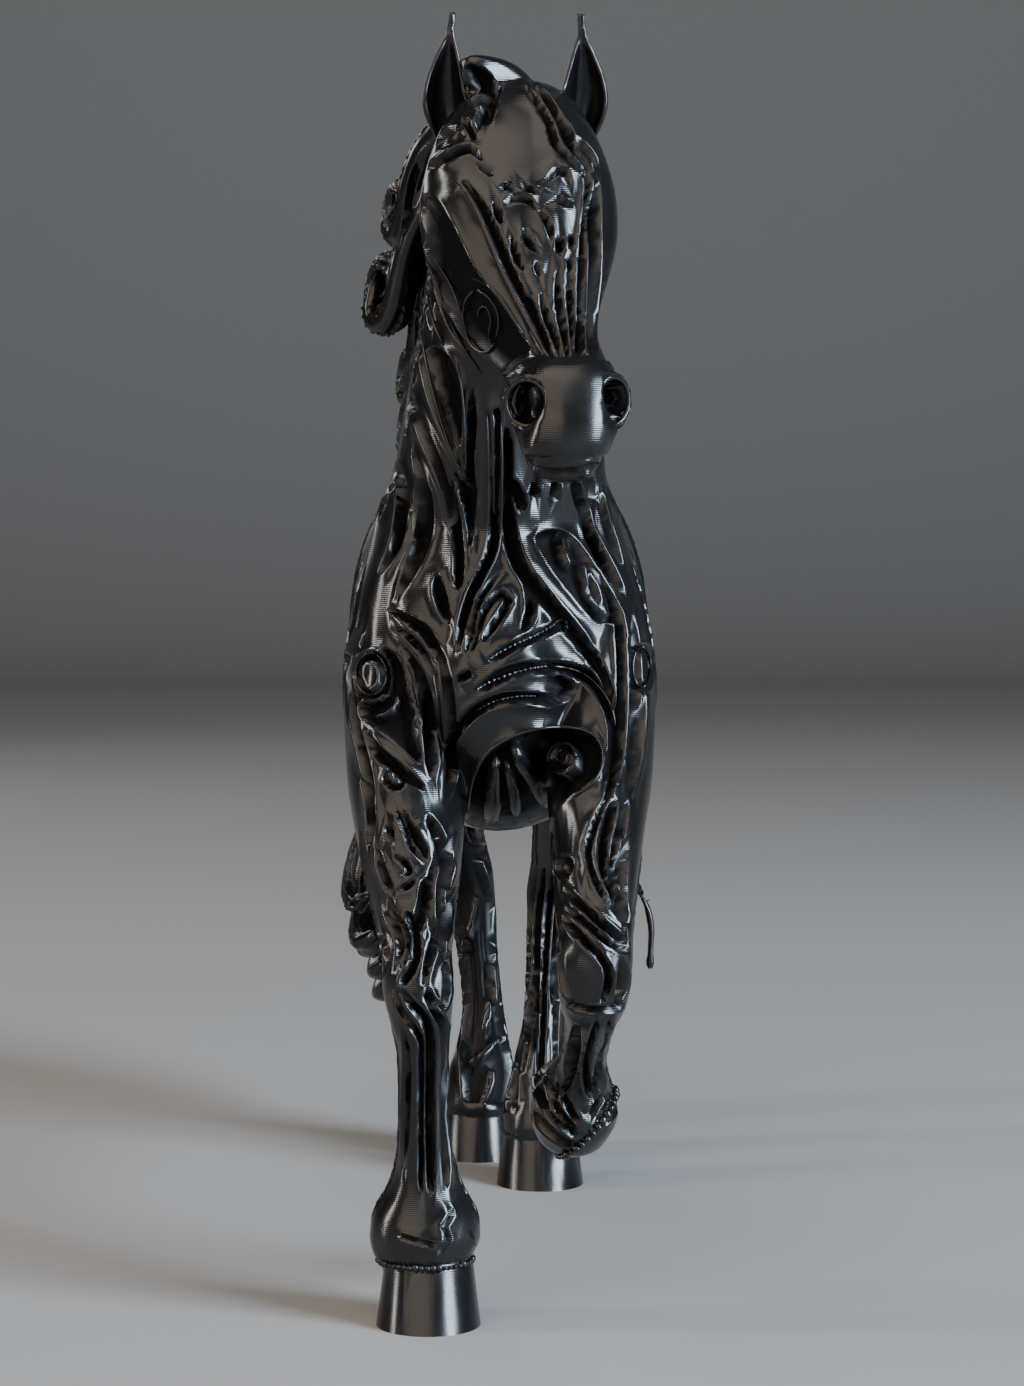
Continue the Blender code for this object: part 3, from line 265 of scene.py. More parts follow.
# Ears: foot, widest place and tip, half the width; nostrils: middle of the rim, turn in degrees, radius.
EAR_WALL = 0.0036
EARS: Dict[str, Tuple[Row, Row, Row, float]] = {
    "ear_right": ((-0.030, -0.366, 0.896), (-0.0395, -0.376, 0.940), (-0.0335, -0.382, 1.000), 0.0178),
    "ear_left": ((0.056, -0.352, 0.896), (0.0655, -0.364, 0.940), (0.0626, -0.374, 1.000), 0.0190),
}
NOSTRILS: Tuple[Tuple[Row, float, float], ...] = (
    ((0.0215, -0.5205, 0.7035), -20.0, 0.0174),
    ((0.0830, -0.5085, 0.7050), 44.0, 0.0182),
)
NOSTRIL_RIM = 0.0018
NOSTRIL_TALL = 1.06
RIM_HALF = 0.0019
RIM_RISE = 0.2 * NOSTRIL_RIM
NOSTRIL_DISH = 0.022

# Locks of the mane: start along the crest, end, radius of the scroll, half the width.
MANE: Tuple[Tuple[float, Row, float, float], ...] = (
    (0.00, (-0.070, -0.240, 0.860), 0.021, 0.024),
    (0.17, (-0.078, -0.205, 0.797), 0.030, 0.030),
    (0.34, (-0.064, -0.165, 0.735), 0.022, 0.026),
    (0.52, (-0.066, -0.115, 0.695), 0.023, 0.027),
    (0.70, (-0.060, -0.060, 0.668), 0.020, 0.024),
    (0.88, (-0.050, -0.010, 0.668), 0.017, 0.020),
)
MANE_THICK = 0.0125
# The tail below its root: middle of the bunch, how far the locks fan out along x, y and z, how much of the
# wave and of the uneven ends each place takes, half the width and half the thickness of a lock.
TAIL_LOCKS = 6
TAIL_PATH: Tuple[Tuple[Row, Row, float, float, float, float], ...] = (
    ((-0.016, 0.505, 0.590), (0.5, 0.30, 0.5), 1.0, 0.0, 0.024, 0.018),
    ((-0.036, 0.548, 0.500), (0.8, 0.55, 0.6), -1.0, 0.0, 0.026, 0.018),
    ((-0.060, 0.560, 0.405), (0.9, 0.85, 0.3), 1.0, 0.0, 0.025, 0.018),
    ((-0.086, 0.550, 0.322), (0.8, 1.0, -0.2), 0.0, 0.0, 0.024, 0.018),
    ((-0.110, 0.530, 0.250), (0.7, 1.1, -0.6), 0.0, 1.0, 0.022, 0.016),
    ((-0.127, 0.500, 0.202), (0.5, 1.0, -0.9), 0.0, 1.0, 0.018, 0.013),
    ((-0.131, 0.465, 0.184), (0.3, 0.8, -1.0), 0.0, 1.0, 0.012, 0.009),
    ((-0.121, 0.442, 0.194), (0.2, 0.7, -1.0), 0.0, 1.0, 0.007, 0.006),
)


def unit(v: np.ndarray) -> np.ndarray:
    """Vectors made one long.

    Args:
        v: one vector or rows of vectors.
    Returns:
        The same directions with length one.
    """
    return v / np.maximum(np.linalg.norm(v, axis=-1, keepdims=True), 1e-12)


def through(rows: Iterable[Sequence[float]], per: int) -> np.ndarray:
    """A smooth curve through the given rows.

    Args:
        rows: the rows that the curve passes.
        per: how many rows come out for each one that goes in.
    Returns:
        The rows of the curve.
    """
    rows = np.array(list(rows), dtype=float)
    wide = np.vstack([2.0 * rows[0] - rows[1], rows, 2.0 * rows[-1] - rows[-2]])
    out = []
    for i in range(len(rows) - 1):
        a, b, c, d = wide[i], wide[i + 1], wide[i + 2], wide[i + 3]
        for k in range(per):
            t = k / per
            out.append(0.5 * (2.0 * b + (c - a) * t + (2.0 * a - 5.0 * b + 4.0 * c - d) * t * t
                              + (3.0 * b - a - 3.0 * c + d) * t ** 3))
    out.append(rows[-1])
    return np.array(out)


def ramp(value: np.ndarray, low: float, high: float) -> np.ndarray:
    """0 below low, 1 above high, smooth between.

    Args:
        value: the numbers to grade.
        low: where the rise starts.
        high: where it ends.
    Returns:
        Numbers from 0 to 1.
    """
    t = np.clip((value - low) / (high - low), 0.0, 1.0)
    return t * t * (3.0 - 2.0 * t)


class Loft:
    """A closed limb: rings of two half-ellipses strung along a curve."""

    def __init__(self, name: str, rows: Iterable[Row], side: Sequence[float] = (1.0, 0.0, 0.0), per: int = 6,
                 cap: float = 0.5, square: float = 2.0, group: Optional[Group] = None) -> None:
        """Set the curve and its frames.

        Args:
            name: what the limb is called.
            rows: stations as x, y, z, half side, half fore, half aft.
            side: the direction that stays level across the limb.
            per: rings for each station.
            cap: how far the ends round out, as a share of their size.
            square: 2 for ellipses, more for squarer rings.
            group: the region that the limb belongs to.
        """
        curve = through(rows, per)
        self.name = name
        self.group = group or Group(name)
        self.centre = curve[:, :3]
        self.half = curve[:, 3:6]
        self.square = square
        self.cap = cap
        self.tangent = unit(np.gradient(self.centre, axis=0))
        hint = np.broadcast_to(np.array(side, dtype=float), self.centre.shape)
        lean = np.sum(hint * self.tangent, axis=1, keepdims=True)
        self.side = unit(hint - lean * self.tangent)
        self.fore = np.cross(self.tangent, self.side)
        step = np.linalg.norm(np.diff(self.centre, axis=0), axis=1)
        self.along = np.concatenate([[0.0], np.cumsum(step)])

    def ring(self, index: int, shrink: float, shift: float, count: int) -> np.ndarray:
        """One ring of points.

        Args:
            index: which station.
            shrink: size of the ring as a share of the station's.
            shift: how far it moves along the curve.
            count: points in the ring.
        Returns:
            The points.
        """
        turn = np.arange(count) * 2.0 * math.pi / count
        power = 2.0 / self.square
        across = np.sign(np.cos(turn)) * np.abs(np.cos(turn)) ** power
        ahead = np.sign(np.sin(turn)) * np.abs(np.sin(turn)) ** power
        side, fore, aft = self.half[index] * shrink
        deep = np.where(ahead > 0.0, fore, aft)
        base = self.centre[index] + self.tangent[index] * shift
        return base + np.outer(across * side, self.side[index]) + np.outer(ahead * deep, self.fore[index])

    def rings(self, count: int = 48) -> List[np.ndarray]:
        """All rings, with rounded ends.

        Args:
            count: points in each ring.
        Returns:
            The rings from end to end.
        """
        out = []
        reach_0 = self.cap * float(np.mean(self.half[0]))
        reach_1 = self.cap * float(np.mean(self.half[-1]))
        for part in (0.12, 0.45, 0.75):
            out.append(self.ring(0, part, -reach_0 * math.sin(math.acos(part)), count))
        for i in range(len(self.centre)):
            out.append(self.ring(i, 1.0, 0.0, count))
        for part in (0.75, 0.45, 0.12):
            out.append(self.ring(-1, part, reach_1 * math.sin(math.acos(part)), count))
        return out


def lock_rows(root: np.ndarray, bend: np.ndarray, end: np.ndarray, curl: float, turns: float, width: float,
              thick: float) -> List[Row]:
    """A hair lock: a bent path that ends in a scroll of shrinking radius.

    Args:
        root: where it grows.
        bend: the point that pulls its path.
        end: where the scroll starts.
        curl: radius of the scroll.
        turns: how far the scroll winds.
        width: half the lock's width.
        thick: half its thickness.
    Returns:
        Stations for a loft.
    """
    root, bend, end = np.array(root), np.array(bend), np.array(end)
    rows = []
    for k in range(7):
        t = k / 6.0
        p = root * (1 - t) ** 2 + bend * 2 * t * (1 - t) + end * t * t
        swell = 0.75 + 0.35 * math.sin(math.pi * min(1.0, 0.25 + t * 0.75))
        rows.append((*p, width * swell, thick, thick))
    run = unit(end - bend)
    up = np.array((0.0, 0.0, 1.0))
    across = unit(up - run * np.dot(up, run))
    steps = int(10 * turns)
    for k in range(1, steps + 1):
        a = 2.0 * math.pi * turns * k / steps
        fade = 1.0 - 0.55 * k / steps
        p = end + across * curl + curl * fade * (run * math.sin(a) - across * math.cos(a))
        rows.append((*p, width * 0.8 * fade, thick * fade, thick * fade))
    return rows


def mane_lofts() -> List[Loft]:
    """Locks along the crest, swept back and to the horse's right.

    Returns:
        One loft for each lock.
    """
    out = []
    crest = through(((0.008, -0.330, 0.925), (0.004, -0.262, 0.868), (0.0, -0.190, 0.782),
                     (0.0, -0.130, 0.700)), 8)
    for i, (start, end, curl, width) in enumerate(MANE):
        root = crest[int(round(start * (len(crest) - 1)))]
        end = np.array(end)
        bend = 0.45 * root + 0.55 * end + np.array((-0.020, 0.0, 0.060))
        rows = lock_rows(root, bend, end, curl, 0.95, width, MANE_THICK)
        out.append(Loft("mane_%d" % i, rows, side=(0.25, 1.0, 0.35), per=3, group=Group.MANE))
    return out


def tail_lofts() -> List[Loft]:
    """Locks that leave the dock together and sweep down to the horse's right.

    Returns:
        One loft for each lock.
    """
    out = []
    for i in range(TAIL_LOCKS):
        t = i / (TAIL_LOCKS - 1) - 0.5
        fan = 0.070 * t
        wave = 0.010 * math.sin(2.4 * i)
        cut = 0.016 * math.cos(1.9 * i + 0.5)
        rows = [(0.0, 0.372, 0.622 + 0.018 * t, 0.022, 0.020, 0.020),
                (-0.004 + 0.2 * fan, 0.440, 0.640 + 0.020 * t, 0.023, 0.018, 0.018)]
        for (x, y, z), (a, b, c), sway, end, side, thick in TAIL_PATH:
            rows.append((x + a * fan, y + b * fan + sway * wave, z + c * fan + end * cut, side, thick, thick))
        out.append(Loft("tail_%d" % i, rows, side=(0.6, -0.8, 0.0), per=4, group=Group.TAIL))
    return out


def all_lofts() -> List[Loft]:
    """Every limb of the figure.

    Returns:
        The lofts that are joined into one body.
    """
    turn = math.radians(13.0)
    lofts = [
        Loft("trunk", TRUNK, cap=0.4),
        Loft("neck", NECK, cap=0.4),
        Loft("head", HEAD, side=(math.cos(turn), math.sin(turn), 0.0), cap=0.5, square=2.6),
        Loft("fore_standing", FORE_STANDING, cap=0.4),
        Loft("fore_lifted", FORE_LIFTED, cap=0.95),
        Loft("hind_near", HIND_NEAR, cap=0.4),
        Loft("hind_far", HIND_FAR, cap=0.4),
    ]
    lofts.append(Loft("forelock", FORELOCK, side=(0.0, 1.0, 0.0), per=4, group=Group.HEAD))
    lofts.append(Loft("spur", SPUR, per=4, group=Group.SPUR))
    lofts.extend(mane_lofts())
    lofts.extend(tail_lofts())
    return lofts


def markers() -> List[Loft]:
    """Stand-ins that only tell which points are ear or hoof.

    Returns:
        Lofts that are never skinned.
    """
    out = []
    for name, (base, middle, tip, wide) in EARS.items():
        rows = [(*base, wide, wide, wide), (*middle, wide, wide, wide), (*tip, wide, wide, wide)]
        out.append(Loft(name, rows, group=Group.EAR))
    for name, (x, y) in HOOVES.items():
        rows = [(x, y, HOOF_TOP - 0.012, 0.04, 0.04, 0.04), (x, y, 0.0, 0.04, 0.04, 0.04)]
        out.append(Loft(name, rows, group=Group.HOOF))
    rows = [(*LIFTED_HOOF[0], 0.036, 0.036, 0.036), (*LIFTED_HOOF[1], 0.036, 0.036, 0.036)]
    out.append(Loft("hoof_lifted", rows, group=Group.HOOF))
    return out


@dataclass
class Shell:
    """The loose limbs before they are joined."""

    shell: bmesh.types.BMesh = field(default_factory=bmesh.new)

    def add(self, rings: List[np.ndarray], closed: bool = False) -> None:
        """Skin a list of rings.

        Args:
            rings: rings of the same number of points.
            closed: True if the last ring joins the first, else each end gets a face.
        """
        grid = [[self.shell.verts.new(p * HEIGHT) for p in ring] for ring in rings]
        count = len(grid[0])
        for a, b in zip(grid, grid[1:] + ([grid[0]] if closed else [])):
            for k in range(count):
                n = (k + 1) % count
                self.shell.faces.new((a[k], a[n], b[n], b[k]))
        if not closed:
            self.shell.faces.new(list(reversed(grid[0])))
            self.shell.faces.new(grid[-1])

    def add_mesh(self, mesh: bpy.types.Mesh) -> None:
        """Take in a finished closed mesh.

        Args:
            mesh: a mesh in metres.
        """
        self.shell.from_mesh(mesh)
        bpy.data.meshes.remove(mesh)

    def to_mesh(self) -> bpy.types.Mesh:
        """Close the shell.

        Returns:
            The mesh of all the limbs.
        """
        big = [f for f in self.shell.faces if len(f.verts) > 4]
        bmesh.ops.triangulate(self.shell, faces=big)
        bmesh.ops.recalc_face_normals(self.shell, faces=self.shell.faces[:])
        mesh = bpy.data.meshes.new("limbs")
        self.shell.to_mesh(mesh)
        self.shell.free()
        return mesh


def hoof_rings(x0: float, y0: float) -> List[np.ndarray]:
    """A flared hoof that reaches below the floor, cut flat later.

    Args:
        x0: centre of the sole.
        y0: centre of the sole.
    Returns:
        The rings from the top down.
    """
    rings = []
    count = 48
    turn = np.arange(count) * 2.0 * math.pi / count
    for t in (-0.25, 0.0, 0.12, 0.3, 0.6, 1.0, 1.0 + SINK / HOOF_TOP):
        grow = max(t, 0.0)
        side, fore, aft = [a + (b - a) * grow for a, b in zip(HOOF_HALF_TOP, HOOF_HALF_SOLE)]
        if t < 0.0:
            side, fore, aft = side * 0.86, fore * 0.86, aft * 0.86
        deep = np.where(np.sin(turn) > 0.0, fore, aft)
        x = x0 + side * np.cos(turn)
        y = y0 + HOOF_LEAN * (0.6 - t) - deep * np.sin(turn)
        z = np.full(count, HOOF_TOP * (1.0 - t))
        rings.append(np.stack([x, y, z], axis=1))
    return rings


def lifted_hoof_rings() -> List[np.ndarray]:
    """The hoof of the folded leg: a flared cup along its own axis.

    Returns:
        The rings from the top down.
    """
    top, sole = np.array(LIFTED_HOOF[0]), np.array(LIFTED_HOOF[1])
    axis = unit(sole - top)
    side = np.array((1.0, 0.0, 0.0))
    fore = np.cross(axis, side)
    turn = np.arange(48) * 2.0 * math.pi / 48
    rings = []
    for t, grow in ((-0.2, 0.80), (0.0, 0.92), (0.5, 0.97), (1.0, 1.02)):
        base = top + (sole - top) * t
        across = HOOF_HALF_TOP[0] * grow * np.cos(turn)
        deep = HOOF_HALF_TOP[1] * grow * np.sin(turn)
        toe = TOE_LEAN * t * np.sin(turn)
        rings.append(base + np.outer(across, side) + np.outer(deep, fore) + np.outer(toe, axis))
    return rings


def ear_rings(base: Row, middle: Row, tip: Row, wide: float) -> List[np.ndarray]:
    """A pointed cup open to the front: each ring is a crescent.

    Args:
        base: foot of the ear.
        middle: its widest place.
        tip: its point.
        wide: half its greatest width.
    Returns:
        The rings from foot to tip.
    """
    spine = through((base, middle, tip), 12)
    last = len(spine) - 1
    rings = []
    half = 15
    for i, centre in enumerate(spine):
        t = i / last
        leaf = wide * (0.60 + 0.40 * math.sin(0.5 * math.pi * min(1.0, t / 0.42)))
        if t > 0.42:
            leaf = wide * max(0.17, 1.0 - ((t - 0.42) / 0.50) ** 1.7)
        deep = leaf * 1.05
        wall = min(EAR_WALL, leaf * 0.55)
        dish = min(1.0, max(0.0, (t - 0.06) / 0.14))
        inner_side = (leaf - wall) * dish + leaf * 0.95 * (1.0 - dish)
        inner_deep = (deep - wall) * dish
        ring = []
        wrap = 0.30
        for k in range(half):
            a = -wrap + (math.pi + 2.0 * wrap) * k / (half - 1)
            ring.append((leaf * math.cos(a), deep * math.sin(a)))
        for k in range(half):
            a = math.pi + wrap - (math.pi + 2.0 * wrap) * k / (half - 1)
            ring.append((inner_side * math.cos(a), inner_deep * math.sin(a) - 0.0006))
        rings.append(np.array([centre + np.array((x, y, 0.0)) for x, y in ring]))
    return rings


def nostril_frame(turn: float) -> Tuple[np.ndarray, np.ndarray, np.ndarray]:
    """The way a nostril faces.

    Args:
        turn: degrees from straight ahead, toward the horse's left.
    Returns:
        Outward, level and upright directions.
    """
    a = math.radians(turn)
    out = unit(np.array((math.sin(a), -math.cos(a), -0.08)))
    level = unit(np.cross(out, np.array((0.0, 0.0, 1.0))))
    return out, level, np.cross(level, out)


def nostril_rings(centre: Row, turn: float, radius: float, half: float, rise: float, sunk: float,
                  steps: int) -> List[np.ndarray]:
    """A round collar that stands off the muzzle.

    Args:
        centre: middle of the collar's mouth.
        turn: the way it faces.
        radius: outer radius of the collar.
        half: half the thickness of its wall.
        rise: how far its middle stands out.
        sunk: how many times deeper than half its wall reaches inward.
        steps: points round the wall's section.
    Returns:
        Rings that go round the wall's own section.
    """
    out, level, up = nostril_frame(turn)
    turns = np.arange(56) * 2.0 * math.pi / 56
    rings = []
    for a in np.arange(steps) * 2.0 * math.pi / steps:
        wide = radius - NOSTRIL_RIM + half * math.cos(a)
        push = rise + half * math.sin(a) * (1.0 if math.sin(a) > 0.0 else sunk)
        base = np.array(centre) + out * push
        rings.append(base + np.outer(wide * np.cos(turns), level)
                     + np.outer(wide * NOSTRIL_TALL * np.sin(turns), up))
    return rings


def plain_mesh(holder: bpy.types.Object) -> bpy.types.Mesh:
    """An object's mesh with its modifiers applied.

    Args:
        holder: the object.
    Returns:
        The new mesh.
    """
    bpy.context.view_layer.update()
    return bpy.data.meshes.new_from_object(holder.evaluated_get(bpy.context.evaluated_depsgraph_get()))


def modified(mesh: bpy.types.Mesh, kind: str, free: Optional[np.ndarray] = None,
             **settings: object) -> bpy.types.Mesh:
    """The mesh after one modifier.

    Args:
        mesh: the mesh, which is used up.
        kind: the modifier's type.
        free: True for each point that the modifier may change, where it is limited.
        **settings: the modifier's settings.
    Returns:
        The new mesh.
    """
    holder = bpy.data.objects.new("holder", mesh)
    bpy.context.scene.collection.objects.link(holder)
    change = holder.modifiers.new("change", kind)
    if free is not None:
        holder.vertex_groups.clear()
        group = holder.vertex_groups.new(name="free")
        group.add(np.nonzero(free)[0].tolist(), 1.0, "REPLACE")
        change.vertex_group = "free"
        change.vertex_group_factor = 1000.0
    for key, value in settings.items():
        setattr(change, key, value)
    result = plain_mesh(holder)
    bpy.data.objects.remove(holder)
    bpy.data.meshes.remove(mesh)
    return result


@dataclass
class SkinMesh:
    """Points and edges of the joined body as arrays."""

    mesh: bpy.types.Mesh
    points: np.ndarray = field(init=False)
    edges: np.ndarray = field(init=False)

    def __post_init__(self) -> None:
        """Read the points and edges."""
        flat = np.empty(len(self.mesh.vertices) * 3)
        self.mesh.vertices.foreach_get("co", flat)
        self.points = flat.reshape(-1, 3) / HEIGHT
        pairs = np.empty(len(self.mesh.edges) * 2, dtype=np.int32)
        self.mesh.edges.foreach_get("vertices", pairs)
        self.edges = pairs.reshape(-1, 2)

    def normals(self) -> np.ndarray:
        """Vertex normals of the mesh as it was last written.

        Returns:
            One row for each point.
        """
        flat = np.empty(len(self.mesh.vertices) * 3)
        self.mesh.vertex_normals.foreach_get("vector", flat)
        return flat.reshape(-1, 3)

    def write(self) -> None:
        """Put the points back into the mesh."""
        self.mesh.vertices.foreach_set("co", (self.points * HEIGHT).ravel())
        self.mesh.update()

    def relax(self, weight: np.ndarray, rounds: int) -> None:
        """Move each point toward the mean of its neighbours.

        Args:
            weight: how far each point goes, 0 to 1.
            rounds: how many times.
        """
        weight = np.where(weight > 0.004, weight, 0.0)
        a, b = self.edges[:, 0], self.edges[:, 1]
        live = np.nonzero((weight[a] > 0.0) | (weight[b] > 0.0))[0]
        a, b = a[live], b[live]
        count = len(self.points)
        near = np.maximum(np.bincount(a, minlength=count) + np.bincount(b, minlength=count), 1)
        for _ in range(rounds):
            for axis in range(3):
                column = self.points[:, axis]
                total = np.bincount(a, weights=column[b], minlength=count)
                total += np.bincount(b, weights=column[a], minlength=count)
                self.points[:, axis] = column + (total / near - column) * weight


class Placing:
    """Where each point lies on the figure: its region, how far along its limb, and the turn around it."""

    def __init__(self, points: np.ndarray, lofts: List[Loft]) -> None:
        """Find the nearest limb of each point.

        Args:
            points: the points, as shares of the height.
            lofts: the limbs.
        """
        self.groups = list(dict.fromkeys(loft.group for loft in lofts))
        order = sorted(lofts, key=lambda loft: self.groups.index(loft.group))
        self.centre = np.vstack([loft.centre for loft in order])
        self.side = np.vstack([loft.side for loft in order])
        self.fore = np.vstack([loft.fore for loft in order])
        self.tangent = np.vstack([loft.tangent for loft in order])
        self.start = np.concatenate([loft.along for loft in order])
        size = np.concatenate([np.mean(loft.half, axis=1) for loft in order])
        group = np.concatenate([np.full(len(loft.centre), self.groups.index(loft.group)) for loft in order])
        firsts = np.searchsorted(group, np.arange(len(self.groups)))
        count = len(points)
        self.best = np.zeros(count, dtype=np.int64)
        gap = np.zeros(count)
        centre = self.centre.astype(np.float32)
        inverse = (1.0 / size ** 2).astype(np.float32)
        square = np.sum(centre ** 2, axis=1)
        for low in range(0, count, 16384):
            block = points[low:low + 16384].astype(np.float32)
            apart = (np.sum(block ** 2, axis=1)[:, None] + square[None, :] - 2.0 * block @ centre.T) * inverse
            pick = np.argmin(apart, axis=1)
            self.best[low:low + 16384] = pick
            each = np.sqrt(np.maximum(np.minimum.reduceat(apart, firsts, axis=1), 0.0))
            each.partition(1, axis=1)
            gap[low:low + 16384] = each[:, 1] - each[:, 0]
        self.group = group[self.best]
        self.seam = np.exp(-(gap / 0.22) ** 2)

    def locate(self, points: np.ndarray, normals: np.ndarray) -> None:
        """Measure the points along and around their limbs.

        Args:
            points: the points after they have been smoothed.
            normals: their normals.
        """
        self.points = points
        self.normals = normals
        arm = points - self.centre[self.best]
        self.along = self.start[self.best] + np.sum(arm * self.tangent[self.best], axis=1)
        across = np.sum(arm * self.side[self.best], axis=1)
        ahead = np.sum(arm * self.fore[self.best], axis=1)
        self.turn = np.arctan2(ahead, across)
        self.radius = np.maximum(np.hypot(across, ahead), 1e-4)
        self.photo = self.in_photo()

    def among(self, names: Iterable[Group]) -> np.ndarray:
        """Which points belong to the named regions.

        Args:
            names: the regions.
        Returns:
            True for each point in them.
        """
        keep = [self.groups.index(n) for n in names if n in self.groups]
        return np.isin(self.group, keep)

    def in_photo(self) -> Tuple[np.ndarray, np.ndarray, np.ndarray]:
        """Where each point shows in the photograph's image.

        Returns:
            Pixel across, pixel down, and how squarely it faces the view.
        """
        deep = self.points[:, 1] - VIEW[1]
        down = VIEW[2] - self.points[:, 2]
        far = deep * math.cos(VIEW_PITCH) + down * math.sin(VIEW_PITCH)
        low = down * math.cos(VIEW_PITCH) - deep * math.sin(VIEW_PITCH)
        x = IMAGE[0] / 2.0 + FOCAL_PX * (self.points[:, 0] - VIEW[0]) / far
        y = IMAGE[1] / 2.0 + FOCAL_PX * low / far
        facing = np.sum(unit(np.array(VIEW) - self.points) * self.normals, axis=1)
        return x, y, facing


class Cut(Enum):
    """What one drawn line or outline does to the skin."""

    GROOVE = "groove"
    RIDGE = "ridge"
    POCKET = "pocket"
    ISLAND = "island"


OUTLINES = (Cut.POCKET, Cut.ISLAND)
BLUNT = (0.0, 0.0)
SHORT = (0.35, 0.35)


@dataclass(frozen=True)
class Channel:
    """One cut line or outline. Its width is in pixels of the photograph at the standing hoof."""

    line: Line
    half: float = 5.0
    ends: Tuple[float, float] = (1.0, 1.0)
    depth: float = 1.0
    kind: Cut = Cut.GROOVE

    def smooth(self, steps: int = 16) -> np.ndarray:
        """The channel's line with many points.

        Args:
            steps: about how many points an open line gets.
        Returns:
            The points of the line.
        """
        points = drawn(self.line)
        if self.kind in OUTLINES:
            curve = through(points[-2:] + points + points[:2], 3)
            return curve[6:6 + 3 * len(points) + 1]
        return through(points, max(2, steps // max(1, len(points) - 1)))


def drawn(line: Line) -> List[Pixel]:
    """The points of a drawn line.

    Args:
        line: points, or text such as "12,34 56,78".
    Returns:
        The points.
    """
    if isinstance(line, str):
        return [tuple(float(value) for value in point.split(",")) for point in line.split()]
    return list(line)


def groove(line: Line, half: float = 5.0, ends: Tuple[float, float] = (1.0, 1.0),
           depth: float = 1.0) -> Channel:
    """A channel along a line.

    Args:
        line: the points it passes.
        half: half its width.
        ends: how long each end tapers, as a share of a third of the length; 0 is blunt.
        depth: how deep it is, as a share of the usual depth.
    Returns:
        The channel.
    """
    return Channel(line, half, ends, depth)


def ridge(line: Line, half: float = 1.8, lift: float = 0.12) -> Channel:
    """A thin cord that stands in a cut.

    Args:
        line: the points it passes.
        half: half its width.
        lift: how far it stands above the skin, as a share of the cut's depth.
    Returns:
        The cord.
    """
    return Channel(line, half, (0.15, 0.15), lift, Cut.RIDGE)


def pocket(outline: Line, depth: float = 1.0) -> Channel:
    """A flat cut inside an outline.

    Args:
        outline: the corners it passes, rounded.
        depth: how deep it is, as a share of the usual depth.
    Returns:
        The cut.
    """
    return Channel(outline, 0.0, BLUNT, depth, Cut.POCKET)


def island(outline: Line, lift: float = 0.0) -> Channel:
    """A place inside an outline that keeps the skin or stands above it.

    Args:
        outline: the corners it passes, rounded.
        lift: how far it stands above the skin.
    Returns:
        The island.
    """
    return Channel(outline, 0.0, BLUNT, lift, Cut.ISLAND)


def depth_of(u: np.ndarray, v: np.ndarray, channel: Channel, unit_px: float,
             stretch: Optional[np.ndarray] = None) -> Tuple[np.ndarray, np.ndarray, np.ndarray]:
    """How deep each point lies in one cut.

    Args:
        u: first map coordinate.
        v: second map coordinate.
        channel: the cut.
        unit_px: the length of one of the channel's pixels on this map.
        stretch: length of one unit of u at each point, where u is an angle.
    Returns:
        Indices of the points it reaches, their depth from 0 to 1, and the lip beside the cut from 0 to 1.
    """
    line = channel.smooth()
    half = channel.half * unit_px
    wall = CHANNEL_WALL / PX * unit_px
    lip = LIP_WIDTH / PX * unit_px
    reach = half + wall + 2.0 * lip
    low, high = line.min(axis=0) - reach, line.max(axis=0) + reach
    near = (v > low[1]) & (v < high[1])
    if stretch is None:
        near &= (u > low[0]) & (u < high[0])
    pick = np.nonzero(near)[0]
    if len(pick) == 0:
        return pick, np.zeros(0), np.zeros(0)
    pu, pv = u[pick], v[pick]
    scale = np.ones(len(pick)) if stretch is None else stretch[pick]
    step = np.linalg.norm(np.diff(line, axis=0), axis=1)
    run = np.concatenate([[0.0], np.cumsum(step)]) / max(float(step.sum()), 1e-9)
    best = np.full(len(pick), 1e9)
    where = np.zeros(len(pick))
    inside = np.zeros(len(pick), dtype=bool)
    for i in range(len(line) - 1):
        du = line[i, 0] - pu
        if stretch is not None:
            du = (du + math.pi) % (2.0 * math.pi) - math.pi
        ax, ay = du * scale, line[i, 1] - pv
        bx, by = (line[i + 1, 0] - line[i, 0]) * scale, line[i + 1, 1] - line[i, 1]
        square = np.maximum(bx * bx + by * by, 1e-12)
        t = np.clip(-(ax * bx + ay * by) / square, 0.0, 1.0)
        apart = np.hypot(ax + bx * t, ay + by * t)
        closer = apart < best
        best = np.where(closer, apart, best)
        where = np.where(closer, run[i] + (run[i + 1] - run[i]) * t, where)
        if channel.kind in OUTLINES:
            cross = (ay > 0.0) != (ay + by > 0.0)
            inside ^= cross & (ax - ay * bx / np.where(np.abs(by) < 1e-12, 1e-12, by) > 0.0)
    if channel.kind in OUTLINES:
        signed, strength = np.where(inside, best, -best), 1.0
    else:
        taper = np.ones(len(pick))
        for end, gone in zip(channel.ends, (where, 1.0 - where)):
            if end > 0.0:
                taper *= np.clip(gone / (END_TAPER * end), 0.0, 1.0) ** 0.6
        signed, strength = half * taper - best, np.clip(taper, 0.0, 1.0) ** 0.4
    beside = np.exp(-((signed + 0.5 * wall + 0.5 * lip) / (0.6 * lip)) ** 2)
    return pick, ramp(signed, -0.5 * wall, 0.5 * wall) * strength, beside * strength


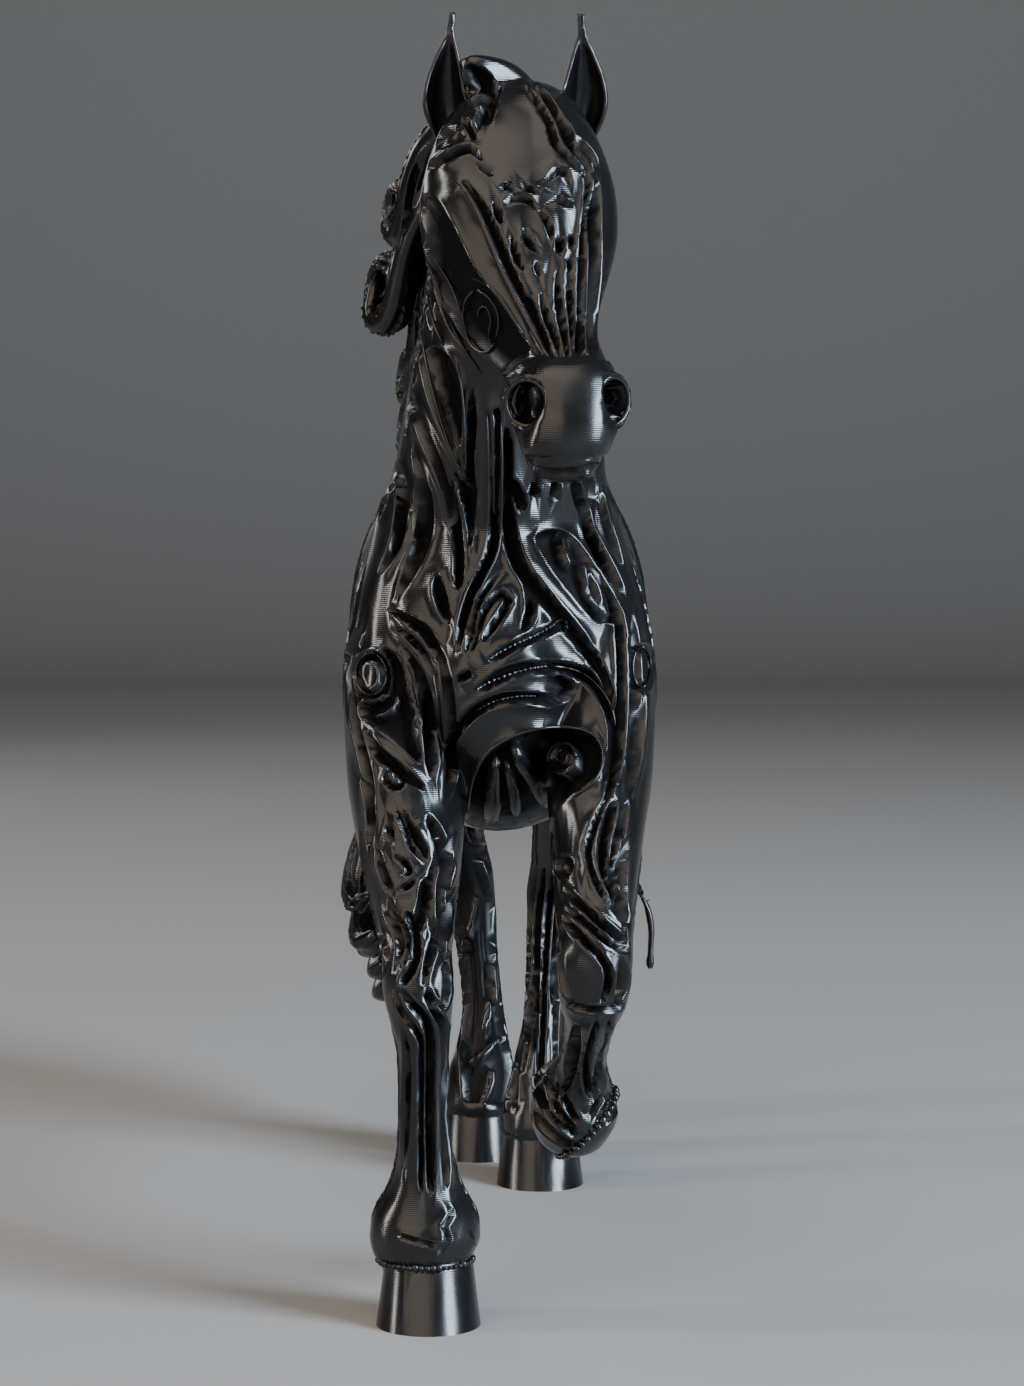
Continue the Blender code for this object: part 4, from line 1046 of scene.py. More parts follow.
@dataclass
class Carver:
    """Cuts channels into the placed skin."""

    placing: Placing
    cut: np.ndarray = field(init=False)
    lip: np.ndarray = field(init=False)

    def __post_init__(self) -> None:
        """Start with no cut and no lip."""
        self.cut = np.zeros(len(self.placing.points))
        self.lip = np.zeros(len(self.placing.points))

    def chart(self, chart: Chart, sign: float) -> Tuple[np.ndarray, np.ndarray, np.ndarray]:
        """Lay one map over the skin.

        Args:
            chart: the map.
            sign: which flank, for the side map.
        Returns:
            Both map coordinates and how far the map holds, 0 to 1 for each point.
        """
        p = self.placing
        (x, y, z), (out, back, up) = p.points.T, p.normals.T
        if chart is Chart.FRONT:
            return (*p.photo[:2], ramp(p.photo[2], 0.08, 0.26))
        if chart is Chart.SIDE:
            return y, z, ramp(sign * out, 0.30, 0.52) * (1.0 - ramp(p.photo[2], 0.24, 0.38))
        if chart is Chart.TOP:
            return x, y, ramp(up, 0.30, 0.52)
        if chart is Chart.REAR:
            return x, z, ramp(back, 0.38, 0.6)
        return p.turn, p.along, np.ones(len(p.turn))

    def carve(self, chart: Chart, channels: Sequence[Channel], groups: Sequence[Group],
              sign: float = 1.0, mask: Optional[np.ndarray] = None) -> int:
        """Cut channels on one map.

        Args:
            chart: the map that they are drawn on.
            channels: the cuts.
            groups: the regions that they may touch.
            sign: which flank, for the side map.
            mask: a further limit, 0 to 1 for each point.
        Returns:
            How many channels were cut.
        """
        u, v, flat = self.chart(chart, sign)
        flat = flat if mask is None else flat * mask
        index = np.nonzero(self.placing.among(groups) & (flat > 0.0))[0]
        u, v, flat = u[index], v[index], flat[index]
        stretch = self.placing.radius[index] if chart is Chart.LIMB else None
        for channel in channels:
            pick, depth, beside = depth_of(u, v, channel, 1.0 if chart is Chart.FRONT else PX, stretch)
            target = index[pick]
            depth = depth * flat[pick]
            if channel.kind in (Cut.GROOVE, Cut.POCKET):
                self.cut[target] = np.maximum(self.cut[target], depth * channel.depth)
                self.lip[target] = np.maximum(self.lip[target], beside * flat[pick])
            else:
                self.cut[target] = self.cut[target] * (1.0 - depth) - depth * channel.depth
        return len(channels)


def arc(cx: float, cy: float, rx: float, ry: float, start: float = 0.0, sweep: float = 360.0,
        steps: int = 16, core: float = 1.0) -> Tuple[Pixel, ...]:
    """Part of an ellipse, or a scroll that opens outward.

    Args:
        cx: centre across.
        cy: centre down.
        rx: half width.
        ry: half height.
        start: first angle in degrees.
        sweep: how far it turns.
        steps: how many pieces.
        core: how small it starts, as a share of its size; 1 for a plain arc.
    Returns:
        Its points.
    """
    out = []
    for k in range(steps + 1):
        a = math.radians(start + sweep * k / steps)
        grown = core + (1.0 - core) * k / steps
        out.append((cx + rx * grown * math.cos(a), cy + ry * grown * math.sin(a)))
    return tuple(out)


def scroll(cx: float, cy: float, radius: float, start: float, turns: float) -> Tuple[Pixel, ...]:
    """A round scroll.

    Args:
        cx: centre across.
        cy: centre down.
        radius: outer radius.
        start: first angle in degrees.
        turns: how far it winds.
    Returns:
        Its points.
    """
    return arc(cx, cy, radius, radius, start, 360.0 * turns, 26, 0.16)


# Cuts and cords as the photograph shows them, in its own pixels. Cuts come first, cords stand in them.
CHEST: Tuple[Channel, ...] = (
    # The big diagonal from the throat, and the dark field right of the bright band beside it.
    groove("508,486 508,520 511,541 519,564 534,585 553,608 573,632 591,656 605,679 "
           "615,703", 6.6, (0.0, 0.9)),
    pocket("536,537 549,531 564,533 578,545 592,566 606,588 616,604 620,618 612,622 597,620 588,613 574,596 "
           "558,576 545,556"),
    island("561,535 568,538 572,550 572,566 566,560 562,548"),
    island("583,562 590,564 600,580 608,600 611,616 603,616 592,596 585,578"),
    groove("588,574 594,590 600,606", 2.2),
    groove("585,500 587,528 597,551 611,574 624,594", 5.2),
    groove("601,490 605,520 613,545 622,566", 3.6),
    # The right shoulder's edge.
    groove("616,606 620,640 621,700 617,760 606,800", 3.4, SHORT),
    groove("633,614 635,660 634,720 628,790", 4.4),
    ridge("627,601 624,614 628,640 629,700 625,750 616,798", 2.2),
    groove(arc(642, 667, 9, 20), 2.6, BLUNT),
    groove("645,694 640,730 635,770 630,800", 3.2),
    # Left of the throat: long slots and the seam that runs to the middle.
    groove("496,478 495,522 492,550 481,574 470,594 463,620 458,652", 4.2, (0.0, 0.6)),
    groove("452,480 456,520 459,560 457,590", 4.2, (1.2, 0.3)),
    groove("436,572 440,596 449,623", 5.2),
    groove("421,476 426,510 424,535 413,566 398,596", 7.5, (0.4, 1.0)),
    groove("462,480 467,500 469,528", 2.8),
    groove("400,470 402,510 396,545 380,574", 5.0),
    # The drop with its inner leaf.
    groove("517,568 527,582 531,600 530,616 523,631", 4.4, (1.0, 0.5)),
    groove("471,653 476,630 485,609 495,597 503,593 509,600 503,612 493,626 482,642", 2.9, SHORT),
    groove("466,655 470,630 478,604 490,584 503,570", 2.0),
    # The ribs of the breast.
    groove("489,661 520,643 548,631 565,620", 4.2, SHORT),
    groove("475,693 500,677 522,669 547,667 568,669 586,676 600,690 610,708 615,728 614,752 "
           "604,780", 5.8, (0.3, 0.5)),
    groove("454,743 461,727 473,713 490,703 510,698 531,698 550,700 563,695 569,686 560,679 "
           "547,677", 4.8, (0.5, 0.3)),
    groove("456,682 463,677 471,673", 3.2, SHORT),
    # The arch with the disc and the three tongues.
    pocket("468,822 470,790 479,765 493,749 512,738 536,731 560,729 582,732 595,739 601,752 599,768 590,781 "
           "576,792 562,800 552,815 530,826 500,832"),
    island(arc(562, 758, 16, 17, 0, 330, 11)),
    groove(arc(563, 757, 9, 10), 1.8, BLUNT, depth=0.5),
    island("511,752 519,749 531,762 543,782 550,806 541,808 529,788 517,770"),
    island("505,770 511,768 518,782 522,812 513,818 509,800"),
    island("489,768 498,764 501,790 499,822 484,826 484,795"),
    ridge("468,814 471,786 480,763 494,747 514,736 538,729 562,727 584,730 597,738 603,752 601,770 590,785 "
          "572,797", 2.2),
    # The seam in the middle and the left shoulder.
    groove("441,655 448,688 451,730 451,772 446,802", 4.6, (0.6, 0.5)),
    groove("403,648 417,668 426,693 429,718 430,745 433,778", 5.2, (1.2, 0.3)),
    pocket("383,648 395,655 404,673 412,702 418,738 421,762 412,755 396,740 379,728 365,719 362,704 378,700 "
           "385,690 389,672"),
    ridge("372,716 384,714 394,706 398,694", 2.4),
    groove("388,608 405,618 425,632 438,652 446,670", 4.4),
    groove("392,626 410,638 424,654 434,676", 2.4),
    groove(arc(371, 675, 14, 20), 3.4, BLUNT),
    groove("362,628 352,650 348,676 351,704 358,732 366,762 374,800", 3.4, SHORT),
    groove("366,732 380,754 402,772 426,790", 5.2),
    groove(scroll(396, 779, 12, 200, 1.1), 2.4),
    groove("362,778 370,800 372,830 368,846", 3.4),
)
NECK_LINES: Tuple[Channel, ...] = (
    groove("416,300 421,345 432,390 446,430 458,462", 3.6),
    groove("406,345 406,372 412,402 424,432 438,464 447,492 452,530", 4.2),
    pocket("430,352 440,350 452,362 460,392 461,430 457,446 447,418 437,384"),
    groove("471,388 472,424 469,462 472,500 470,545", 4.0, (0.5, 1.0)),
    groove("497,412 497,450 497,482", 2.6, BLUNT),
    groove("507,428 508,460 508,490", 3.8, (0.6, 0.0)),
    ridge("495,414 494,450 494,520", 1.6),
    ridge("501,420 501,460 500,536", 1.6),
    ridge("478,404 479,450 478,505 473,560", 1.6),
    groove("392,450 402,482 405,505 399,538", 4.6),
    groove("412,452 424,482 430,516", 3.0),
    groove("454,470 464,500 468,518", 2.4),
    groove("384,468 384,500 374,525", 3.4),
    groove("425,262 440,290 452,322 470,354", 2.6),
    groove("436,262 449,283 460,308", 2.4),
    groove("420,276 428,300 432,330", 2.4),
    # Under the chin.
    pocket("514,480 526,500 521,512 514,500"),
    groove("536,482 534,498", 4.0, SHORT),
    groove("556,482 554,500", 4.2, SHORT),
    groove("574,480 578,500 584,516", 4.4, SHORT),
    groove("592,478 591,500", 3.0, SHORT),
)
FACE: Tuple[Channel, ...] = (
    # The hollow under the tuft between the ears.
    pocket("467,67 478,67 488,74 494,84 490,96 482,102 474,107 468,96"),
    # The cheek drops behind the long crest.
    pocket("426,196 437,203 449,220 461,243 473,268 490,291 508,315 522,338 530,350 516,357 505,368 490,380 "
           "460,380 430,340 415,260 417,205", 1.15),
    # Inner side of the crest: a narrow channel with a cord.
    groove("462,180 478,200 491,226 503,256 519,290 536,322 552,356", 4.2, (0.7, 0.3)),
    ridge("456,180 472,199 486,226 498,256 514,290 531,322 547,358", 1.8),
    # The right edge of the face.
    groove("584,168 588,182 588,210 584,250 582,300 580,357", 4.0, (0.6, 0.2)),
    ridge("590,184 590,212 587,250 586,300 584,357", 1.7),
    groove("598,182 594,214 594,260 592,310 592,356", 4.6, (0.5, 0.3)),
    ridge("602,284 606,276 606,294", 2.6),
    ridge("602,312 605,306 604,336", 2.8),
    # The bridge above the muzzle.
    groove("529,294 538,322 548,346 556,362", 2.6),
    groove("541,292 546,316 556,340 563,362", 2.6),
    groove("558,268 558,300 564,334 569,362", 2.4),
    groove("570,262 570,300 573,334 575,362", 2.2),
    # Pits and worms on the forehead.
    groove("494,200 498,212 502,224", 3.2),
    groove("505,204 514,198 526,200 536,208", 2.6),
    groove("512,236 516,256 524,270", 2.8),
    groove("524,228 530,244 540,252", 3.0),
    groove("540,210 548,224 552,240", 2.4),
    groove("522,184 530,190 540,190", 2.2),
    groove("548,180 556,172 566,174 570,184", 2.6),
    groove("556,196 564,204 574,204", 2.6),
    groove("560,236 560,252", 3.6, SHORT),
    groove("572,234 572,246", 2.6, SHORT),
    groove("570,258 570,270", 2.6, SHORT),
    groove("478,164 486,170 492,176", 2.4),
    groove("500,190 508,186 514,192", 2.0),
    groove("536,262 540,276", 2.4),
    groove("508,264 518,288 528,304", 2.6),
    # Brow and poll.
    groove("424,170 442,160 458,152 472,150 482,160", 3.8),
    groove("430,146 444,136 456,128", 4.0),
    groove("505,84 496,92 491,108 486,126", 3.4, SHORT),
    groove("490,96 482,116 476,132", 3.0),
    groove("462,118 470,128 474,140", 2.8),
    groove("524,84 538,104 549,124 556,146 572,162 584,174", 2.6, (0.5, 0.3)),
    groove("534,84 548,102 560,122 568,142 580,158 592,172", 2.8, (0.5, 0.3)),
    groove("560,118 568,132 572,146", 3.2),
    groove("576,138 586,152 598,166", 3.0),
    # The muzzle stands out as a block; under it the ridged lips.
    island("514,372 528,365 548,361 572,360 596,361 614,366 628,374 632,400 624,430 612,462 590,468 550,468 "
           "528,462 514,430 503,400 505,380", 0.32),
    groove("532,466 550,470 574,469 600,463", 1.7, SHORT),
    groove("538,472 556,475 578,474 598,469", 1.5, SHORT),
    groove("548,479 564,481 586,478", 1.6, SHORT),
)
FOREARM: Tuple[Channel, ...] = (
    groove("397,810 405,829 413,848 426,863", 2.6),
    groove("404,812 414,833 424,850 428,860", 3.6),
    groove("388,824 392,842", 2.6),
    pocket("428,816 439,828 448,850 453,868 447,888 441,880 440,862 436,846 430,830"),
    ridge("434,840 441,837", 1.6),
    pocket("423,880 432,884 434,896 429,912 421,930 414,928 417,908"),
    pocket("406,912 416,922 420,940 420,958 413,974 403,986 401,978 410,962 413,946 410,928"),
    groove("384,912 396,928 401,946 397,966", 2.6),
    groove("391,910 403,926 408,944 404,966", 2.2),
    groove("378,930 386,946 388,962", 2.6),
    groove("449,902 440,925 433,946 427,966 424,986", 3.8),
    ridge("419,818 425,836 431,850 436,864 436,884 433,906 426,926 427,940 423,960 415,980", 3.2, 0.2),
    ridge("441,899 444,909 438,918 434,916", 1.8),
    groove("464,884 454,902 446,930 440,950", 3.6),
    groove("452,950 446,976 447,996 442,1012", 3.0),
    groove("394,856 404,862 410,872 400,876", 2.2),
    groove("398,890 408,886 416,880", 2.2),
    groove("378,850 384,872 394,898", 2.8),
    groove("397,990 399,1006 408,1020 417,1033 421,1046 421,1110 421,1196", 2.0, SHORT),
    groove("402,990 412,1005 424,1018 430,1031 431,1048 430,1110 431,1196", 3.8, SHORT),
    groove("424,994 434,1010 443,1026 445,1050 444,1110 446,1190", 3.0, SHORT),
    groove("427,988 432,1000 442,1008", 2.2),
    groove("404,1030 408,1060 407,1110 405,1170", 2.6),
)
PASTERN: Tuple[Channel, ...] = (
    ridge("394,1201 402,1197 420,1197 437,1196", 2.8, 0.1),
    groove("398,1235 414,1240 428,1244 438,1246", 1.7, SHORT, depth=0.45),
    groove("447,1205 451,1215 443,1227 448,1238 441,1250 438,1262", 1.5, SHORT, depth=0.35),
    ridge("453,1201 456,1202", 3.8, 0.16),
    ridge("456,1216 457,1218", 3.6, 0.18),
    ridge("465,1231 470,1233 475,1246", 1.8, 0.14),
    ridge("464,1193 466,1206", 1.8, 0.12),
    groove("386,1271 400,1271 430,1274 460,1272 472,1270", 1.6, SHORT, depth=0.7),
)
LIFTED_ARM: Tuple[Channel, ...] = (
    groove("606,799 595,824 588,851 595,879 611,906 625,923", 2.2, SHORT),
    groove("615,799 607,824 602,850 607,877 618,902 629,923", 4.2, SHORT),
    groove("627,800 621,826 617,850 616,884", 3.6),
    ridge("621,832 620,856 620,880", 1.6),
    groove("564,888 587,911 613,933 628,945", 3.4, SHORT),
    groove("566,907 587,924 610,943 630,951", 2.8, SHORT),
    groove("563,915 577,934 600,956 609,972 607,990 602,1004", 3.2, SHORT),
    groove("622,958 622,984 615,1004", 4.6),
    groove(arc(565, 867, 6, 8), 2.2, BLUNT),
    groove("568,1004 590,1009 612,1008 624,1004", 2.4, SHORT),
    groove("560,950 563,980 572,1002", 3.0),
    groove("598,1020 589,1050 585,1072 590,1100", 2.4, SHORT),
    groove("611,1016 607,1040 603,1066 600,1092", 2.2, SHORT),
    groove("576,1024 570,1050 568,1076", 2.8),
    # The fringe over the hoof.
    groove("560,1088 567,1103 577,1122", 2.4, SHORT),
    groove("553,1100 562,1116 576,1130", 2.2, SHORT),
    groove("546,1112 558,1124 576,1136", 2.4, SHORT),
    groove("538,1068 540,1090 547,1110", 3.0, SHORT),
    groove("548,1072 551,1086 557,1098", 2.6, SHORT),
    groove("534,1112 546,1128 562,1140 578,1146", 3.0, SHORT),
    groove("601,1096 595,1107 590,1116", 1.9, SHORT),
    groove("610,1099 603,1110 597,1120", 1.9, SHORT),
    groove("618,1101 611,1114 603,1124", 1.9, SHORT),
    ridge("566,1091 576,1106 582,1122", 1.8, 0.14),
    ridge("612,1091 605,1106 598,1118", 1.8, 0.14),
    ridge("621,1093 610,1110 600,1123", 1.8, 0.14),
    ridge("532,1066 533,1086 540,1108 558,1127 575,1139", 1.6, 0.12),
)
HIND_FRONT: Tuple[Channel, ...] = (
    pocket("456,850 480,846 516,850 520,900 520,960 512,1010 514,1060 508,1110 470,1112 462,1060 458,1000 "
           "452,930", 0.8),
    ridge("486,858 490,875 497,895 506,912 512,926", 4.6, 0.1),
    ridge("501,843 508,855 516,868", 4.4, 0.1),
    ridge("492,962 496,985 492,1006 482,1034", 4.0, 0.1),
    ridge("503,1036 485,1052 467,1063", 4.0, 0.1),
    ridge("494,1068 492,1085 482,1106", 3.4, 0.1),
    ridge("479,895 470,925 460,952", 3.0, 0.1),
    ridge("500,940 510,960 518,985", 3.0, 0.1),
    groove("544,868 538,920 536,980 534,1050", 2.6, SHORT),
    groove("552,876 547,930 544,985 542,1050", 2.8, SHORT),
    groove("560,890 556,940 552,1000", 2.8, SHORT),
    groove("536,866 530,920 528,980 526,1040", 2.4, SHORT),
)


def stripes(bands: Iterable[Tuple[Line, Line, int, float]], sign: float = 1.0) -> List[Channel]:
    """Rows of channels, each turning one guide into another.

    Args:
        bands: for each row its first and last guide, how many channels, and half the width of one.
        sign: -1 to lay them on the other side of the middle.
    Returns:
        The channels.
    """
    out = []
    for first, last, count, half in bands:
        for k in range(count):
            t = k / max(1, count - 1)
            line = [(sign * (a[0] + (b[0] - a[0]) * t), a[1] + (b[1] - a[1]) * t)
                    for a, b in zip(drawn(first), drawn(last))]
            out.append(Channel(line, half))
    return out


# The carving of one flank in y and z: neck, shoulder, barrel and haunch.
FLANK = stripes((
    ("-0.372,0.850 -0.335,0.760 -0.318,0.690", "-0.262,0.858 -0.196,0.765 -0.140,0.672", 5, 4.6),
    ("-0.345,0.700 -0.320,0.640 -0.285,0.600", "-0.235,0.720 -0.200,0.672 -0.150,0.640", 3, 4.2),
    ("-0.262,0.585 -0.270,0.520 -0.250,0.455", "-0.100,0.660 -0.088,0.560 -0.130,0.420", 4, 5.0),
    ("-0.168,0.620 -0.160,0.580 -0.172,0.530", "-0.150,0.640 -0.128,0.590 -0.134,0.540", 2, 3.6),
    ("-0.066,0.640 0.020,0.606 0.110,0.612 0.182,0.650",
     "-0.020,0.440 0.040,0.412 0.100,0.420 0.150,0.452", 6, 5.4),
    ("0.000,0.600 0.050,0.588 0.090,0.592", "0.010,0.462 0.054,0.438 0.090,0.446", 5, 3.0),
    ("0.208,0.640 0.176,0.530 0.200,0.410", "0.250,0.486 0.250,0.440 0.256,0.385", 4, 5.0),
    ("0.338,0.640 0.362,0.560 0.330,0.450", "0.386,0.610 0.392,0.560 0.372,0.500", 3, 4.6),
    ("0.286,0.478 0.300,0.440 0.296,0.390", "0.330,0.470 0.336,0.430 0.330,0.396", 2, 4.0),
)) + [
    Channel(scroll(-0.212, 0.548, 0.036, 70, 1.3), 4.4, (0.3, 1.0)),
    Channel(scroll(0.276, 0.566, 0.054, 140, 1.35), 5.0, (0.3, 1.0)),
    Channel(arc(-0.030, 0.668, 0.030, 0.010, 10, 160), 3.0),
]
# The carving of half the back in x and y, and of one buttock in x and z.
BACK = (("0.012,-0.060 0.022,0.060 0.012,0.180 0.024,0.330",
         "0.060,-0.050 0.078,0.060 0.062,0.170 0.076,0.290", 3, 4.8),)
RUMP = (("0.022,0.560 0.030,0.510 0.018,0.450", "0.082,0.620 0.096,0.540 0.074,0.440", 4, 4.8),)


# Where each shin and the arm or thigh above it are carved, along the leg, and how many bands go round.
LEG_SPANS: Dict[Group, Tuple[float, float, float, float, int]] = {
    Group.FORE_STANDING: (0.455, 0.615, 0.300, 0.420, 3),
    Group.FORE_LIFTED: (0.470, 0.610, 0.300, 0.430, 3),
    Group.HIND_NEAR: (0.405, 0.545, 0.190, 0.350, 5),
    Group.HIND_FAR: (0.405, 0.545, 0.190, 0.350, 5),
}
FLUTES = 6
AHEAD = 0.5 * math.pi


def shin_channels(name: Group) -> List[Channel]:
    """Flutes down a shin and slanting bands over the arm or thigh above it.

    Args:
        name: the leg.
    Returns:
        The channels, in turn and length along the leg.
    """
    shin_0, shin_1, arm_0, arm_1, bands = LEG_SPANS[name]
    shin, arm = 0.5 * (shin_0 + shin_1), 0.5 * (arm_0 + arm_1)
    out = []
    for k in range(FLUTES):
        if name is Group.FORE_STANDING and abs((k + 0.5) / FLUTES - 0.5) > 0.34:
            continue
        turn = AHEAD + (k + 0.5) * 2.0 * math.pi / FLUTES
        out.append(Channel(((turn - 0.10, shin_0), (turn, shin), (turn + 0.08, shin_1)), 3.4))
    for k in range(bands + 1):
        turn = AHEAD + 1.05 + k * (2.0 * math.pi - 2.1) / bands
        out.append(Channel(((turn, arm_0), (turn + 0.45, arm), (turn + 0.20, arm_1)), 4.6))
        turn += 0.42
        out.append(Channel(((turn, arm_0 + 0.020), (turn + 0.28, arm), (turn + 0.20, arm_1 - 0.020)), 3.0))
    return out


def hair_channels() -> List[Channel]:
    """Strand lines along the locks of mane and tail.

    Returns:
        The channels, in turn and length along the lock.
    """
    wave = ((0.0, 0.010), (0.25, 0.110), (-0.15, 0.230), (0.2, 0.330), (0.0, 0.600))
    turns = [0.35 + k * 2.0 * math.pi / 5.0 for k in range(5)]
    return [Channel([(turn + a, b) for a, b in wave], 2.6, (0.1, 0.2), 0.75) for turn in turns]


def pixel_ray(x: float, y: float) -> np.ndarray:
    """The way from the view point through one pixel of the photograph.

    Args:
        x: pixel across.
        y: pixel down.
    Returns:
        The direction, one long.
    """
    across, down = (x - IMAGE[0] / 2.0) / FOCAL_PX, (y - IMAGE[1] / 2.0) / FOCAL_PX
    level, tip = math.cos(VIEW_PITCH), math.sin(VIEW_PITCH)
    return unit(np.array((across, level - down * tip, -tip - down * level)))


@dataclass(frozen=True)
class Cord:
    """A thin cord that lies on the skin. Its width is in pixels of the photograph at the standing hoof."""

    line: Line
    half: float
    rope: float = 0.0
    sides: int = 7

    def rings(self, skin: BVHTree) -> List[np.ndarray]:
        """Lay the cord on the carved skin as the photograph shows it.

        Args:
            skin: the carved skin, in metres.
        Returns:
            Rings along the cord; none where the skin is missed.
        """
        eye = np.array(VIEW)
        rays = [pixel_ray(x, y) for x, y in through(drawn(self.line), 16 if self.rope else 5)]
        hits = [skin.ray_cast(Vector(eye * HEIGHT), Vector(ray))[3] for ray in rays]
        kept = [(ray, hit / HEIGHT) for ray, hit in zip(rays, hits) if hit is not None]
        if len(kept) < 4:
            return []
        way = np.array([ray for ray, _ in kept])
        far = np.array([hit for _, hit in kept])
        wide = np.pad(far, 2, mode="edge")
        near = np.min([wide[k:k + len(far)] for k in range(5)], axis=0)
        wide = np.pad(np.maximum(near, far - CHANNEL_DEPTH), 2, mode="edge")
        even = np.sum([wide[k:k + len(far)] * w for k, w in enumerate((0.1, 0.2, 0.4, 0.2, 0.1))], axis=0)
        half = self.half * PX
        middle = eye + way * (even - 0.3 * half)[:, None]
        along = unit(np.gradient(middle, axis=0))
        side = unit(np.cross(along, -way))
        up = np.cross(side, along)
        turns = np.arange(self.sides) * 2.0 * math.pi / self.sides
        run = np.concatenate([[0.0], np.cumsum(np.linalg.norm(np.diff(middle, axis=0), axis=1))]) / PX
        swell = 1.0 + 0.45 * np.cos(2.0 * math.pi * run / self.rope) if self.rope else np.ones(len(run))
        rings = []
        for i, centre in enumerate(middle):
            thin = half * swell[i] * min(1.0, 0.35 + 0.33 * min(i, len(middle) - 1 - i))
            rings.append(centre + thin * (np.outer(np.cos(turns), side[i]) + np.outer(np.sin(turns), up[i])))
        return rings


# Cords that stand clear of the cuts, in the photograph's own pixels.
CORDS: Tuple[Cord, ...] = (
    # The hollow cheek: its rim, a scroll and two long lines.
    Cord("470,277 486,284 500,298 512,316 524,336", 1.5),
    Cord("474,290 466,300 463,316 466,334 474,348 486,352 496,342", 1.4),
    Cord("476,289 487,296 496,308 499,322 496,338", 1.4),
    Cord("478,318 480,308 487,308 491,320 489,334 492,346", 1.3),
    Cord("426,262 437,284 446,310 456,334 470,358 482,374", 1.2),
    Cord("434,258 450,284 460,310 468,336", 1.2),
    Cord("422,280 428,300 434,324 444,346", 1.2),
    # The neck's long lines.
    Cord("487,412 488,460 488,510 485,545 474,574 463,600 456,628 453,655", 1.3),
    Cord("501,420 502,470 501,530 497,555 485,580 475,604", 1.3),
    Cord("418,300 424,350 435,400 449,445 464,478", 1.2),
    Cord("457,362 463,400 465,440 466,474", 1.2),
    # The lip of the arch and the ring round its disc.
    Cord("468,814 471,786 480,763 494,747 514,736 538,729 562,727 584,730 597,738 603,752 601,770 590,785 "
         "572,797", 1.6),
    # The beaded ropes on the breast, and the thin rings on the shoulders.
    Cord("489,659 504,650 520,642 536,635 550,627 560,620 567,624 563,634", 2.0, 5.6),
    Cord("476,690 490,682 505,676 520,671 534,668 548,666", 2.0, 5.6),
    Cord("476,711 490,703 506,698 522,696 536,696", 1.8, 5.0),
    Cord("548,666 568,668 586,675 600,688 611,706 616,728", 1.4),
    Cord(arc(371, 674, 15, 21), 1.3),
    Cord(arc(642, 667, 9, 20), 1.3),
    Cord(arc(562, 758, 14, 15), 1.6),
    Cord(arc(563, 757, 6, 7), 1.2),
)


@dataclass
class Graph:
    """Adds nodes to a tree and joins them."""

    tree: bpy.types.NodeTree

    def add(self, kind: str, inputs: Dict[Union[str, int], object], **settings: object) -> bpy.types.Node:
        """Add a node.

        Args:
            kind: the node's type.
            inputs: for each input a value, or the output of another node that feeds it.
            **settings: the node's own settings.
        Returns:
            The node.
        """
        node = self.tree.nodes.new(kind)
        for key, value in settings.items():
            setattr(node, key, value)
        self.feed(node, inputs)
        return node

    def feed(self, node: bpy.types.Node, inputs: Dict[Union[str, int], object]) -> None:
        """Set or join the inputs of a node.

        Args:
            node: the node.
            inputs: for each input a value, or the output of another node that feeds it.
        """
        for key, value in inputs.items():
            if isinstance(value, bpy.types.NodeSocket):
                self.tree.links.new(value, node.inputs[key])
            else:
                node.inputs[key].default_value = value


